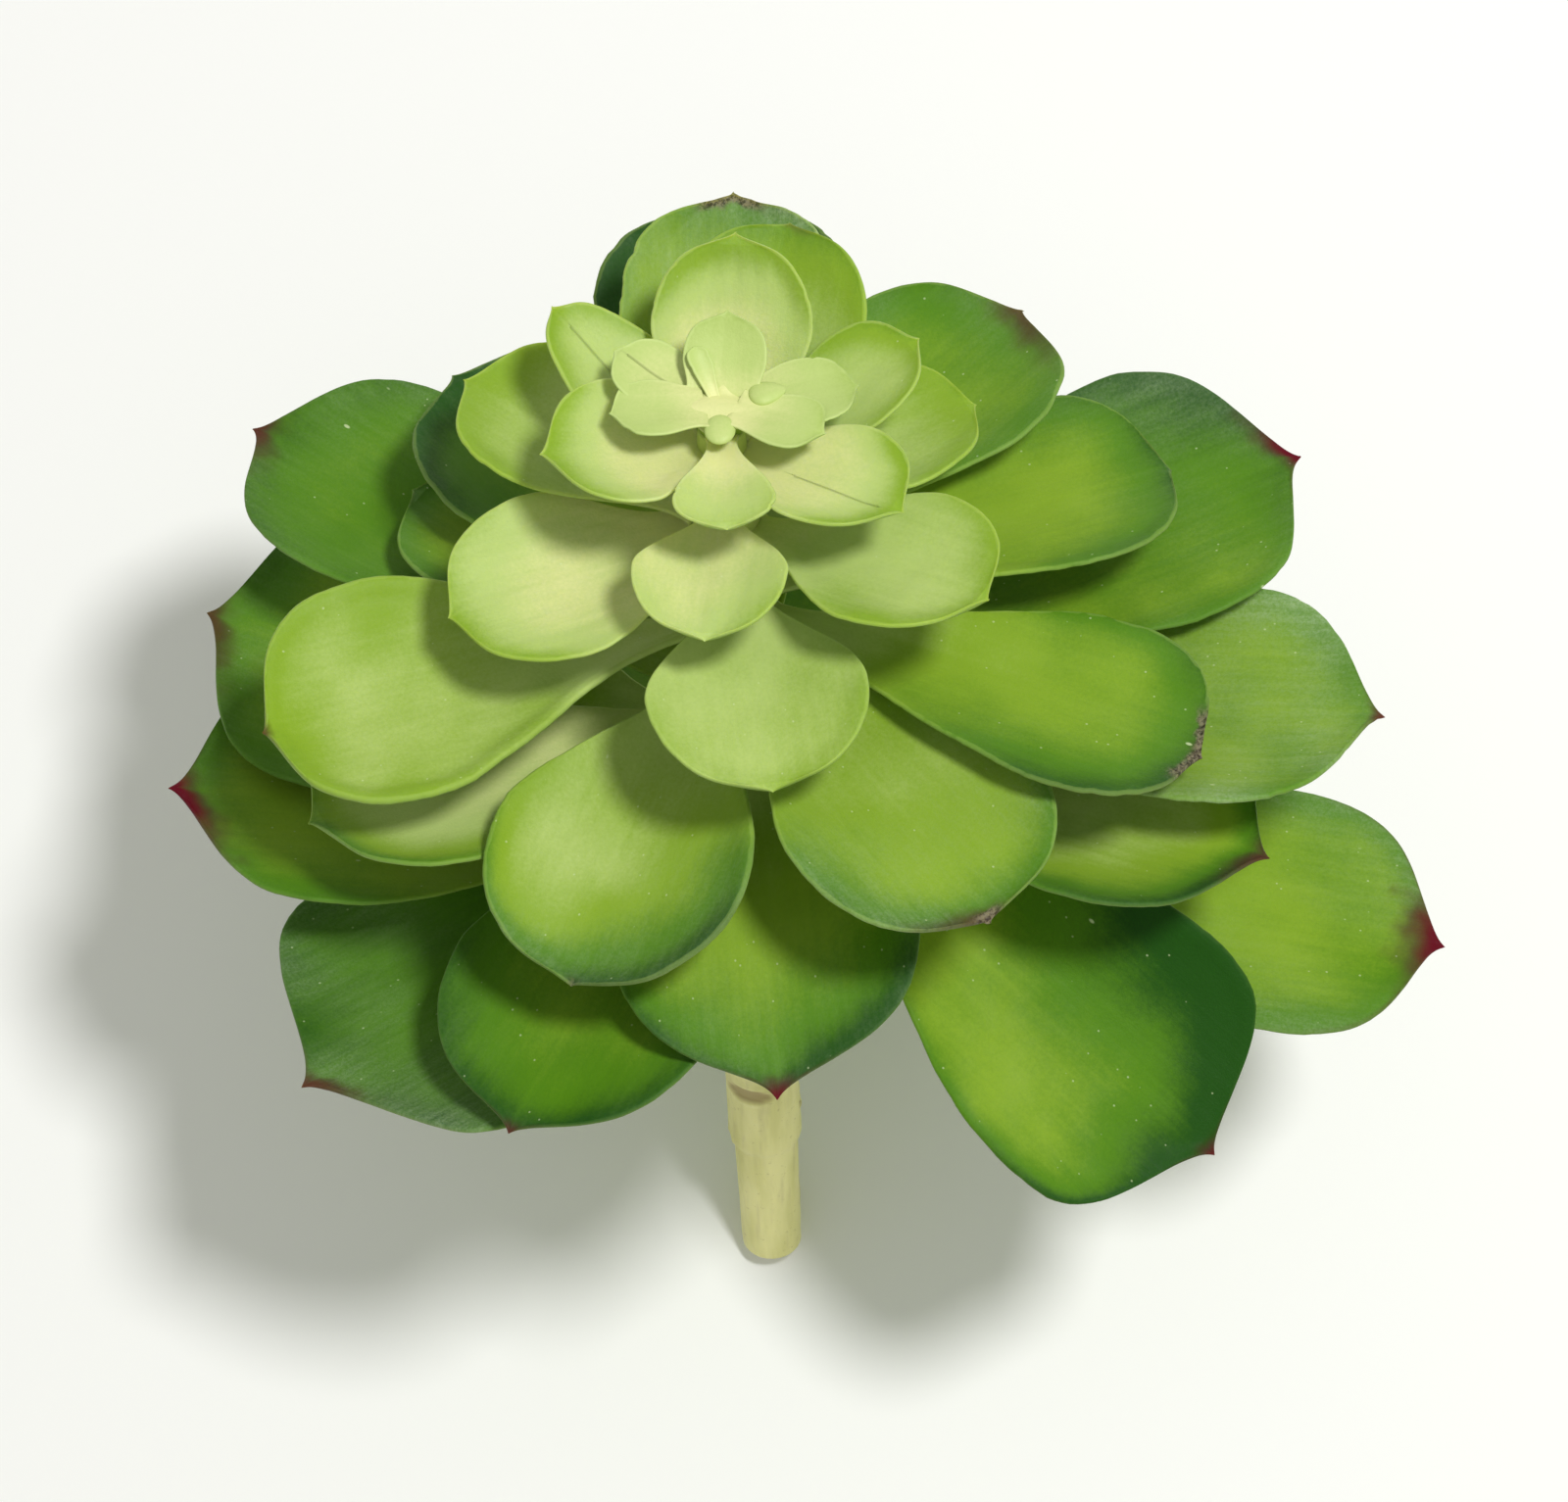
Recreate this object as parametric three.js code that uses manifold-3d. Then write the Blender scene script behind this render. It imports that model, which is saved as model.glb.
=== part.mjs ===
// A cut echeveria head: a domed rosette of spoon-shaped succulent leaves on a bare cut stem.
// It lies on a flat surface, leaning back on its cut end and on two of its lowest back leaves.
// Units are millimetres and degrees. The plant's own frame has +Z up the stem from the cut end, its front at -Y.
import * as THREE from "three";
import { mergeVertices } from "three/addons/utils/BufferGeometryUtils.js";
import Module from "manifold-3d";

const wasm = await Module();
wasm.setup();

// Driving dimensions of the stem: [height along it from the cut end, radius].
const STEM_PROFILE = [
  [0, 4.7], // rim of the cut
  [0.6, 5.0],
  [28, 5.3],
  [29.5, 6.0], // ledge where an old leaf came off
  [84, 6.2],
  [158, 6.2], // start of the taper to the crown
  [190, 3.4], // crown, under the heart
];
const STEM_HEIGHT = STEM_PROFILE.at(-1)[0];
const STEM_SIDES = 24;

// Driving dimensions that all leaves share.
const SEAT_GAP = 0.3; // clearance between a leaf's foot and the stem
const MARGIN_THICKNESS = 1.0; // of the blade at its edge
const TIP_THINNING = 0.45; // share of its thickness that a blade loses from foot to tip
const MUCRO_HALF_WIDTH = 0.9; // of the small hard point at the leaf's end

// How the rosette lies: its axis leans back from upright by this angle, then all of it is moved so that the
// surface it rests on is Z = 0 and the origin is the middle of the bottom of its box.
const LEAN_BACK = 33;
const LAID_OFFSET = [-9.84, -73.25, 2.3];
const PRESSED_FLAT = ["stem", "skirt_leaf_7", "skirt_leaf_8"]; // what the rosette rests on

const COLORS = {
  stem: 0xcfd28c,
  skirt: 0x4f8f2c,
  outer: 0x5c9a34,
  middle: 0x83b23c,
  upper: 0xa3c455,
  inner: 0xb9d26c,
  bud: 0xc3da82,
};

// Whorls of leaves from the lowest, widest one to the heart. Each sets the size and shape of its leaves:
// neck is the width of the foot and reach the length of the rounded end past the widest part, as shares of the
// width; blunt is how square that end is (2 is an ellipse); cup is the height of the edges over the midrib, as
// a share of the half width; mucro is the length of the small hard point.
const WHORLS = {
  skirt: { length: 88, width: 47, thickness: 3.2, neck: 0.2, reach: 0.5, blunt: 2, cup: 0.16, mucro: 2.8 },
  outer: { length: 86, width: 46, thickness: 3.2, neck: 0.2, reach: 0.46, blunt: 2.1, cup: 0.18, mucro: 2.8 },
  middle: { length: 70, width: 41, thickness: 3, neck: 0.2, reach: 0.46, blunt: 2.2, cup: 0.2, mucro: 2 },
  upper: { length: 42, width: 30, thickness: 2.6, neck: 0.2, reach: 0.48, blunt: 2.1, cup: 0.22, mucro: 2 },
  inner: { length: 28, width: 22, thickness: 2.2, neck: 0.24, reach: 0.5, blunt: 2, cup: 0.24, mucro: 1.8 },
  bud: { length: 15, width: 11.5, thickness: 1.8, neck: 0.6, reach: 0.5, blunt: 2.1, cup: 0.12, mucro: 1 },
};
const STRAIGHT = { curl: 0, roll: 0, sweep: 0 };

// Each leaf's place and attitude. azimuth runs anticlockwise seen from above, from +X, so 270 is the front;
// rise is the height of the foot on the stem, pitch the foot's slope above level, curl how much more the tip
// slopes than the foot, roll the turn about the midrib and sweep how far the leaf's end hooks sideways.
const LEAVES = {
  // Drooping in front; the last two are at the back, and the rosette lies on their tips.
  skirt: [
    { azimuth: 320.5, rise: 121.5, length: 86, width: 48, reach: 0.4, blunt: 2.3, pitch: -15.5, curl: -22, roll: 30, sweep: 8 },
    { azimuth: 273, rise: 132, length: 58, pitch: -8, curl: -18 },
    { azimuth: 240, rise: 117.5, length: 66, width: 44, pitch: -2, curl: -8 },
    { azimuth: 212, rise: 98.5, length: 74, width: 54, reach: 0.36, blunt: 2.6, pitch: 3, sweep: 8 },
    { azimuth: 183, rise: 110, length: 81, pitch: 6, curl: 6 },
    { azimuth: 348.5, rise: 104, length: 102, width: 45, cup: 0.08, pitch: -6, roll: 10 },
    { azimuth: 122, rise: 88, length: 102, pitch: -10, curl: -18, roll: -18, mucro: 0.6 },
    { azimuth: 58, rise: 92, length: 102, pitch: -12, curl: -20.2, roll: 18, mucro: 0.6 },
  ],
  outer: [
    { azimuth: 338, rise: 128.5, length: 76, cup: 0.26, pitch: -2 },
    { azimuth: 350, rise: 133.8, length: 90, pitch: 4 },
    { azimuth: 19, rise: 138, length: 86, width: 48, pitch: 8, roll: 10 },
    { azimuth: 147, rise: 134.6, length: 81, width: 43, pitch: 12 },
    { azimuth: 161, rise: 122, length: 80, width: 51, cup: 0.28, pitch: 0, curl: 10, roll: -20 },
    { azimuth: 92, rise: 104, length: 84, pitch: -4, curl: -4 },
    { azimuth: 68, rise: 118, length: 80, pitch: 4 },
    { azimuth: 114, rise: 112, length: 80, pitch: 4 },
  ],
  middle: [
    { azimuth: 200, rise: 151, length: 64, width: 40, pitch: 2, roll: -16 },
    { azimuth: 202, rise: 131.5, length: 62, width: 38, pitch: 6 },
    { azimuth: 245, rise: 145, length: 55, cup: 0.28, pitch: -8, curl: -12 },
    { azimuth: 276, rise: 163, length: 38, width: 33, pitch: 0, curl: -10 },
    { azimuth: 302, rise: 147.2, length: 60, pitch: -1, curl: -6 },
    { azimuth: 335, rise: 152.5, length: 68, width: 36, pitch: -2, curl: -2 },
    { azimuth: 17, rise: 157, length: 64, width: 38, pitch: 1 },
    { azimuth: 44, rise: 161, length: 58, width: 38, pitch: 8, roll: 3 },
    { azimuth: 133, rise: 151, length: 54, pitch: 13 },
    { azimuth: 148, rise: 145, length: 50, width: 34, pitch: 8 },
    { azimuth: 88, rise: 122.5, length: 79, width: 42, pitch: 37, curl: 6 },
  ],
  upper: [
    { azimuth: 200, rise: 168, length: 37, pitch: 2, roll: -14 },
    { azimuth: 262, rise: 178, length: 25, width: 23, pitch: 0, curl: -4 },
    { azimuth: 325, rise: 172, length: 39, pitch: 8 },
    { azimuth: 19, rise: 175, length: 34, width: 27, pitch: 8 },
    { azimuth: 148, rise: 171, length: 39, width: 30, pitch: 14 },
    { azimuth: 87, rise: 166, length: 49, width: 34, pitch: 30, curl: 8 },
    { azimuth: 72, rise: 172.6, length: 40, width: 30, pitch: 34, curl: 6 },
  ],
  inner: [
    { azimuth: 82, rise: 177, length: 33, width: 24, pitch: 50, curl: 8 },
    { azimuth: 140, rise: 180, length: 30, width: 18, pitch: 28, curl: 10 },
    { azimuth: 193, rise: 187, length: 21, width: 21, pitch: 10, curl: 6 },
    { azimuth: 270, rise: 189.4, length: 17, width: 15, pitch: 6 },
    { azimuth: 324, rise: 186.5, length: 26, width: 20, pitch: 6 },
    { azimuth: 24, rise: 180, length: 29, width: 19, pitch: 24, curl: 4, roll: 4 },
  ],
};

// The heart is one piece: a tapered hub with a whorl of small bud leaves round three unopened ones.
const HUB_RADIUS = 3.4;
const HUB_TOP_RADIUS = 2;
const HUB_HEIGHT = 3.6;
const HUB_SIDES = 16;
const BUD_FOOT = 1.4; // distance of a bud leaf's foot from the axis
const HEART_FOOT = STEM_HEIGHT + SEAT_GAP;
const BUDS = [
  { azimuth: 80, rise: 2.8, length: 13, width: 12.5, pitch: 42, curl: 10 },
  { azimuth: 147, rise: 2.6, length: 16.5, pitch: 18, curl: 8 },
  { azimuth: 186, rise: 2.4, length: 14, pitch: 14 },
  { azimuth: 335, rise: 2.3, length: 14.5, pitch: 2 },
  { azimuth: 10, rise: 2.5, length: 18.5, pitch: 6 },
  { azimuth: 270, rise: 3.6, length: 5.5, width: 5, thickness: 3.2, pitch: 10, mucro: 0.3 },
  { azimuth: 6, rise: 4.6, length: 9.5, width: 5, thickness: 2.6, pitch: 18, mucro: 0.5 },
  { azimuth: 118, rise: 4.2, length: 9, width: 6, thickness: 2, pitch: 42, mucro: 0.5 },
];

// Stations along a leaf, as shares of its length, and across it, as shares of its half width.
const STATIONS = [0, 0.14, 0.3, 0.44, 0.58, 0.7, 0.82, 0.91, 0.97, 1];
const ACROSS = [-1, -0.55, 0, 0.55, 1];
const SPINE_STEPS = 24;

const radians = THREE.MathUtils.degToRad;

function smooth(share) {
  const t = Math.min(1, Math.max(0, share));
  return t * t * (3 - 2 * t);
}

// Half width at a share of the length, as a share of the widest: a neck that swells smoothly to the belly,
// then a rounded end.
function outline(share, leaf) {
  const belly = 1 - (leaf.reach * leaf.width) / leaf.length;
  if (share < belly) return leaf.neck + (1 - leaf.neck) * smooth(share / belly);
  const past = (share - belly) / (1 - belly);
  return Math.sqrt(Math.max(0, 1 - Math.pow(past, leaf.blunt)));
}

// The midrib's place and direction at a share of the length, walked in short steps.
function spine(share, leaf) {
  const place = new THREE.Vector3(leaf.foot, 0, 0);
  const along = new THREE.Vector3();
  const step = (share * leaf.length) / SPINE_STEPS;
  for (let i = 0; i <= SPINE_STEPS; i += 1) {
    const s = Math.min(share, (share * (i + 0.5)) / SPINE_STEPS);
    const slope = radians(leaf.pitch + leaf.curl * s);
    const heading = radians(leaf.sweep * s * s);
    along.set(Math.cos(slope) * Math.cos(heading), Math.cos(slope) * Math.sin(heading), Math.sin(slope));
    if (i < SPINE_STEPS) place.addScaledVector(along, step);
  }
  return { place, along };
}

// A point of the blade: across runs from -1 to 1 between the edges, and under is 0 on the upper face, 1 below.
function bladePoint(share, across, under, leaf) {
  const { place, along } = spine(share, leaf);
  const level = new THREE.Vector3(-along.y, along.x, 0).normalize();
  const up = new THREE.Vector3().crossVectors(along, level);
  const turn = radians(leaf.roll) * smooth(share * 1.5);
  const side = level.clone().multiplyScalar(Math.cos(turn)).addScaledVector(up, Math.sin(turn));
  const normal = up.clone().multiplyScalar(Math.cos(turn)).addScaledVector(level, -Math.sin(turn));
  const half = Math.max(MUCRO_HALF_WIDTH, (leaf.width / 2) * outline(share, leaf));
  const middle = leaf.thickness * (1 - TIP_THINNING * smooth(share));
  const depth = MARGIN_THICKNESS + (middle - MARGIN_THICKNESS) * (1 - across * across);
  const height = leaf.cup * half * across * across - under * depth;
  return place.addScaledVector(side, half * across).addScaledVector(normal, height);
}

// A closed blade: rings of points round each station, a fan over the foot and a fan to the tip.
function leafGeometry(leaf) {
  const positions = [];
  const faces = [];
  const ring = ACROSS.length * 2;
  STATIONS.forEach((share) => {
    ACROSS.forEach((across) => positions.push(...bladePoint(share, across, 0, leaf)));
    [...ACROSS].reverse().forEach((across) => positions.push(...bladePoint(share, across, 1, leaf)));
  });
  for (let i = 0; i < STATIONS.length - 1; i += 1) {
    for (let j = 0; j < ring; j += 1) {
      const a = i * ring + j;
      const b = i * ring + ((j + 1) % ring);
      const c = a + ring;
      const d = b + ring;
      // Both faces split along the same diagonal.
      if (j < ACROSS.length) faces.push(a, d, b, a, c, d);
      else faces.push(a, c, b, b, c, d);
    }
  }
  for (let j = 1; j < ring - 1; j += 1) faces.push(0, j, j + 1);
  const { place, along } = spine(1, leaf);
  const last = (STATIONS.length - 1) * ring;
  const tip = positions.length / 3;
  positions.push(...place.addScaledVector(along, leaf.mucro));
  for (let j = 0; j < ring; j += 1) faces.push(last + ((j + 1) % ring), last + j, tip);
  const geometry = new THREE.BufferGeometry();
  geometry.setAttribute("position", new THREE.Float32BufferAttribute(positions, 3));
  geometry.setIndex(faces);
  return geometry;
}

// A leaf's shape with its foot at the given distance from the axis, turned to its azimuth and raised.
function placedGeometry(leaf, foot, rise) {
  return leafGeometry({ ...leaf, foot }).rotateZ(radians(leaf.azimuth)).translate(0, 0, rise);
}

function stemRadius(height) {
  const above = STEM_PROFILE.findIndex(([level]) => level > height);
  const [lowHeight, lowRadius] = STEM_PROFILE[above - 1];
  const [highHeight, highRadius] = STEM_PROFILE[above];
  return lowRadius + ((highRadius - lowRadius) * (height - lowHeight)) / (highHeight - lowHeight);
}

// How far from the axis a leaf's foot starts: clear of the stem, and further out the more it slopes, since then
// the foot's underside, or its cupped edges, lean back toward the stem.
function seatRadius(leaf) {
  const slope = Math.sin(radians(leaf.pitch));
  const cupped = (leaf.cup * leaf.neck * leaf.width) / 2;
  const lean = slope < 0 ? -slope * leaf.thickness : slope * cupped;
  return stemRadius(leaf.rise - leaf.thickness) + SEAT_GAP + lean;
}

// A closed shape as a solid that can be cut and joined: doubled points are merged, faces of no area left out.
function solidOf(geometry) {
  const bare = new THREE.BufferGeometry();
  bare.setAttribute("position", geometry.getAttribute("position"));
  bare.setIndex(geometry.getIndex());
  const merged = mergeVertices(bare);
  const corners = merged.getIndex().array;
  const kept = [];
  for (let i = 0; i < corners.length; i += 3) {
    const [a, b, c] = corners.slice(i, i + 3);
    if (a !== b && b !== c && c !== a) kept.push(a, b, c);
  }
  const vertProperties = new Float32Array(merged.getAttribute("position").array);
  return new wasm.Manifold(new wasm.Mesh({ numProp: 3, vertProperties, triVerts: new Uint32Array(kept) }));
}

function geometryOf(solid) {
  const mesh = solid.getMesh();
  const geometry = new THREE.BufferGeometry();
  geometry.setAttribute("position", new THREE.Float32BufferAttribute(mesh.vertProperties, 3));
  geometry.setIndex(Array.from(mesh.triVerts));
  return geometry;
}

function stemSolid() {
  const wall = STEM_PROFILE.map(([height, radius]) => new THREE.Vector2(radius, height));
  const profile = [new THREE.Vector2(0, 0), ...wall, new THREE.Vector2(0, STEM_HEIGHT)];
  return solidOf(new THREE.LatheGeometry(profile, STEM_SIDES).rotateX(Math.PI / 2));
}

function leafSolid(leaf) {
  return solidOf(placedGeometry(leaf, seatRadius(leaf), leaf.rise));
}

function heartSolid() {
  const hub = new THREE.CylinderGeometry(HUB_TOP_RADIUS, HUB_RADIUS, HUB_HEIGHT, HUB_SIDES);
  hub.rotateX(Math.PI / 2).translate(0, 0, HEART_FOOT + HUB_HEIGHT / 2);
  const buds = BUDS.map((row) => ({ ...STRAIGHT, ...WHORLS.bud, ...row }));
  const leaves = buds.map((bud) => placedGeometry(bud, BUD_FOOT, HEART_FOOT + bud.rise));
  return wasm.Manifold.union([hub, ...leaves].map(solidOf));
}

const rosette = new THREE.Group();
rosette.rotation.x = -radians(LEAN_BACK);
rosette.position.set(...LAID_OFFSET);

// The surface it lies on, in the plant's own frame: a plane's normal and distance from the origin.
const lean = radians(LEAN_BACK);
const SURFACE_NORMAL = [0, -Math.sin(lean), Math.cos(lean)];
const SURFACE_LEVEL = -LAID_OFFSET[2];

function addPiece(name, solid, color) {
  const shape = PRESSED_FLAT.includes(name) ? solid.trimByPlane(SURFACE_NORMAL, SURFACE_LEVEL) : solid;
  const material = new THREE.MeshStandardMaterial({ color, roughness: 0.5, metalness: 0 });
  const piece = new THREE.Mesh(geometryOf(shape), material);
  piece.name = name;
  rosette.add(piece);
}

addPiece("stem", stemSolid(), COLORS.stem);
for (const [whorl, rows] of Object.entries(LEAVES)) {
  rows.forEach((row, index) => {
    const leaf = { ...STRAIGHT, ...WHORLS[whorl], ...row };
    addPiece(`${whorl}_leaf_${index + 1}`, leafSolid(leaf), COLORS[whorl]);
  });
}
addPiece("heart", heartSolid(), COLORS.bud);

export default rosette;
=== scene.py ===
"""The looks of a cut echeveria head: fleshy leaves with round rims, a scarred stem and a pale studio."""
import math
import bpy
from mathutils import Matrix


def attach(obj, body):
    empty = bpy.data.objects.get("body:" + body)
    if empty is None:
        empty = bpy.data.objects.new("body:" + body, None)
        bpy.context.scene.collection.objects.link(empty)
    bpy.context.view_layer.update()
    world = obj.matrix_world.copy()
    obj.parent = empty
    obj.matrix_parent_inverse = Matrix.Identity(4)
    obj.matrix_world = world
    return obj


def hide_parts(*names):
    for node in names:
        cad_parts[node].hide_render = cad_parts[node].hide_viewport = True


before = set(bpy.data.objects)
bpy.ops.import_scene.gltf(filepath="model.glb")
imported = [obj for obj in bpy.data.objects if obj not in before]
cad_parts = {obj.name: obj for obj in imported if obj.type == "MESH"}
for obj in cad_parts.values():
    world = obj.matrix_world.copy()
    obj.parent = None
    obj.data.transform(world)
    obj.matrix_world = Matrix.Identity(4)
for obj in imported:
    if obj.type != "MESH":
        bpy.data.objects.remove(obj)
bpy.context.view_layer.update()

from types import SimpleNamespace

import bpy
import numpy as np
from bpy.props import FloatProperty, FloatVectorProperty, IntProperty, PointerProperty
from mathutils import Matrix, Vector

bl_info = {
    "name": "Echeveria head",
    "version": (1, 0, 0),
    "blender": (4, 5, 0),
    "location": "3D View > Sidebar > Echeveria",
    "description": "Builds the leaves, heart and stem of a cut echeveria head, and a pale studio for it",
    "category": "Add Mesh",
}

MM = 0.001
SEED = 4210

# How the rosette lies: its axis leans back from upright, then all of it is moved (mm).
LEAN_BACK = math.radians(33)
LAID_OFFSET = (-9.84, -73.25, 2.3)

# The stem's wall: height along it from the cut end and radius (mm).
STEM_PROFILE = [(0, 4.7), (0.6, 5.0), (28, 5.3), (29.5, 6.0), (84, 6.2), (158, 6.2), (190, 3.4)]
STEM_HEIGHT = STEM_PROFILE[-1][0]
STEM_GIRTH_RADIUS = 5.6

# The stem's scars: height of the first and step to the next (mm), each a golden angle further round, and
# their half width, half height, depth and ridge (mm).
FIRST_SCAR = 30
SCAR_STEP = 7.4
FIRST_SCAR_TURN = math.radians(200)
GOLDEN_ANGLE = math.radians(137.5)
SCAR_HALF_WIDTH = 4.2
SCAR_HALF_HEIGHT = 1.7
SCAR_DEPTH = 0.22
SCAR_RIDGE = 0.3

# What all leaves share. The gap to the stem, the tip's thread and the rings before the foot, as distance
# and how much wider they are, in mm. The tip's thinning is a share of the thickness.
SEAT_GAP = 0.3
TIP_THINNING = 0.45
TIP_HALF_WIDTH = 0.28
THREAD_LENGTH = 8
THREAD_ROUNDING = 0.3
FOOT_RINGS = [(-1.1, 0.35), (-0.5, 0.15)]
FOOT_POLE = -1.4

# The tip's hollow shoulders: their width, the power that hollows them, and how sharply they join on.
SHOULDER_WIDTH = 8.7
SHOULDER_POWER = 1.7
SHOULDER_BLEND = 3.0

# How finely a leaf is drawn: points of its outline, steps of its midrib and points round each rim, and
# how much closer together its stations lie near the tip. Leaves under the full length (mm) are drawn
# finer.
NECK_POINTS = 240
BELLY_POINTS = 300
MIDRIB_STEPS = 400
EDGE_SAMPLES = 260
RIM_POINTS = 5
TIP_SPACING = 0.28
TIP_ZONE = 0.12
LAST_STATION = 0.999
ACROSS_SPACING = 2.3
EVEN_SHARE = 0.45
FULL_LENGTH = 60
LEAST_SCALE = 0.45
BUD_SCALE = 0.3

# Soft random relief: how many waves, how the short ones fall off and how high the crests are. Each kind
# has its longest and its shortest wave (mm).
WAVE_COUNT = 9
WAVE_FALL = 0.7
WAVE_CREST = 1.6
WAVES = {
    "stray edge": (24, 1.7), "corky edge": (2.4, 0.7), "nicks": (5, 0.9), "waved edge": (40, 9),
    "dents": (30, 6), "green band": (50, 14), "green": (45, 10), "blush": (7, 2), "scar": (5, 1),
    "bloom": (50, 12), "stem wall": (30, 6), "cut face": (5, 1),
}

# Whorls from the lowest to the heart, in mm and shares.
WHORLS = {
    "skirt": dict(length=88, width=47, thickness=3.2, neck=0.2, reach=0.5, blunt=2, cup=0.16, mucro=2.8),
    "outer": dict(length=86, width=46, thickness=3.2, neck=0.2, reach=0.46, blunt=2.1, cup=0.18,
                  mucro=2.8),
    "middle": dict(length=70, width=41, thickness=3, neck=0.2, reach=0.46, blunt=2.2, cup=0.2, mucro=2),
    "upper": dict(length=42, width=30, thickness=2.6, neck=0.2, reach=0.48, blunt=2.1, cup=0.22, mucro=2),
    "inner": dict(length=28, width=22, thickness=2.2, neck=0.24, reach=0.5, blunt=2, cup=0.24, mucro=1.8),
    "bud": dict(length=15, width=11.5, thickness=1.8, neck=0.85, reach=0.5, blunt=2.1, cup=0.12, mucro=1),
}
STRAIGHT = dict(curl=0, roll=0, sweep=0)

# Each leaf's place and attitude, in degrees and mm from the cut end.
LEAVES = {
    "skirt": [
        dict(azimuth=320.5, rise=121.5, length=88, width=48, reach=0.4, blunt=2.3, pitch=-15.5, curl=-22,
             roll=30, sweep=8),
        dict(azimuth=273, rise=132, length=58, pitch=-8, curl=-18),
        dict(azimuth=240, rise=117.5, length=66, width=44, pitch=-2, curl=-8),
        dict(azimuth=213.5, rise=98.5, length=75, width=59, reach=0.36, blunt=2.6, pitch=3, sweep=4),
        dict(azimuth=182, rise=110, length=81, width=51, blunt=2.2, pitch=6, curl=6),
        dict(azimuth=348.5, rise=104, length=102, width=45, cup=0.08, pitch=-6, roll=10),
        dict(azimuth=122, rise=88, length=102, pitch=-10, curl=-18, roll=-18, mucro=0.6),
        dict(azimuth=58, rise=92, length=102, pitch=-12, curl=-20.2, roll=18, mucro=0.6),
    ],
    "outer": [
        dict(azimuth=338, rise=128.5, length=76, cup=0.26, pitch=-2),
        dict(azimuth=350, rise=133.8, length=90, pitch=4),
        dict(azimuth=19, rise=138, length=86, width=48, pitch=8, roll=10),
        dict(azimuth=147, rise=134.6, length=81, width=43, pitch=12),
        dict(azimuth=161, rise=122, length=80, width=51, cup=0.28, pitch=0, curl=10, roll=-20),
        dict(azimuth=92, rise=104, length=84, pitch=-4, curl=-4),
        dict(azimuth=68, rise=118, length=80, pitch=4),
        dict(azimuth=114, rise=112, length=80, pitch=4),
    ],
    "middle": [
        dict(azimuth=197.6, rise=152, length=66, width=39, neck=0.13, pitch=2, roll=-16),
        dict(azimuth=202, rise=131.5, length=62, width=38, pitch=6),
        dict(azimuth=245, rise=145, length=55, cup=0.28, pitch=-8, curl=-12),
        dict(azimuth=276, rise=163, length=38, width=33, pitch=0, curl=-10),
        dict(azimuth=302, rise=147.2, length=60, pitch=-1, curl=-6),
        dict(azimuth=335, rise=152.5, length=68, width=36, pitch=-2, curl=-2),
        dict(azimuth=17, rise=157, length=64, width=38, pitch=1),
        dict(azimuth=44, rise=161, length=58, width=38, pitch=8, roll=3),
        dict(azimuth=133, rise=151, length=54, pitch=13),
        dict(azimuth=148, rise=145, length=50, width=34, pitch=8),
        dict(azimuth=89, rise=122.5, length=80.5, width=42, blunt=2.7, pitch=37, curl=6, mucro=1),
    ],
    "upper": [
        dict(azimuth=200, rise=168, length=37, neck=0.5, reach=0.55, pitch=2, roll=-14),
        dict(azimuth=262, rise=178, length=25, width=23, pitch=0, curl=-4),
        dict(azimuth=325, rise=172, length=39, pitch=8),
        dict(azimuth=19, rise=175, length=34, width=27, pitch=8),
        dict(azimuth=148, rise=171, length=39, width=30, pitch=14),
        dict(azimuth=86.3, rise=166, length=48, width=33.5, blunt=2.2, pitch=30, curl=8, mucro=2.6),
        dict(azimuth=72, rise=172.6, length=40, width=30, pitch=34, curl=6, mucro=1),
    ],
    "inner": [
        dict(azimuth=82, rise=177, length=33, width=24, pitch=50, curl=8),
        dict(azimuth=140, rise=180, length=30, width=18, reach=0.8, blunt=1.6, pitch=28, curl=10),
        dict(azimuth=193, rise=187, length=21.5, width=25, neck=0.5, pitch=10, curl=6, roll=-8),
        dict(azimuth=270, rise=190.3, length=17.8, width=14.8, neck=0.3, reach=0.28, blunt=2.6, pitch=3,
             mucro=1),
        dict(azimuth=324, rise=186.5, length=26, width=22, neck=0.5, pitch=6),
        dict(azimuth=24, rise=180, length=29, width=19, pitch=24, curl=4, roll=4),
    ],
}

# The heart, in mm and degrees: a hub that spreads into a crown, bud leaves, a folded and two plump ones.
HUB_RADIUS = 3.4
CROWN_RADIUS = 5
CROWN_LIFT = 0.14
CROWN_BLEND = 2.5
RIDGE_FALL = 0.09
BUD_FOOT = 3.4
HEART_FOOT = STEM_HEIGHT + SEAT_GAP
BUDS = [
    dict(azimuth=80, rise=4.4, length=10.3, width=12.5, neck=0.86, pitch=42, curl=10),
    dict(azimuth=147, rise=2.3, length=14.4, width=12.5, neck=0.65, pitch=15, curl=8),
    dict(azimuth=187, rise=4.15, length=12, width=12, neck=0.75, blunt=2.5, pitch=7),
    dict(azimuth=333, rise=4.15, length=12.5, width=11.5, neck=0.66, reach=0.44, blunt=2.4, pitch=2),
    dict(azimuth=10, rise=2.7, length=16.5, width=14.5, neck=0.65, pitch=3),
]
FOLDED_BUD = dict(azimuth=113, rise=3.8, foot=1.7, length=8, width=3.2, thickness=0.8, neck=0.6,
                  blunt=2.4, pitch=37, cup=0.25, mucro=0.4)
PLUMP_BUDS = [
    dict(azimuth=268, reach=5.1, rise=3.75, length=5.4, width=4.6, thickness=1.9, pitch=-8, taper=0),
    dict(azimuth=12, reach=7.2, rise=4.5, length=5.6, width=4.5, thickness=2, pitch=3, taper=0.3),
]

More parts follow.
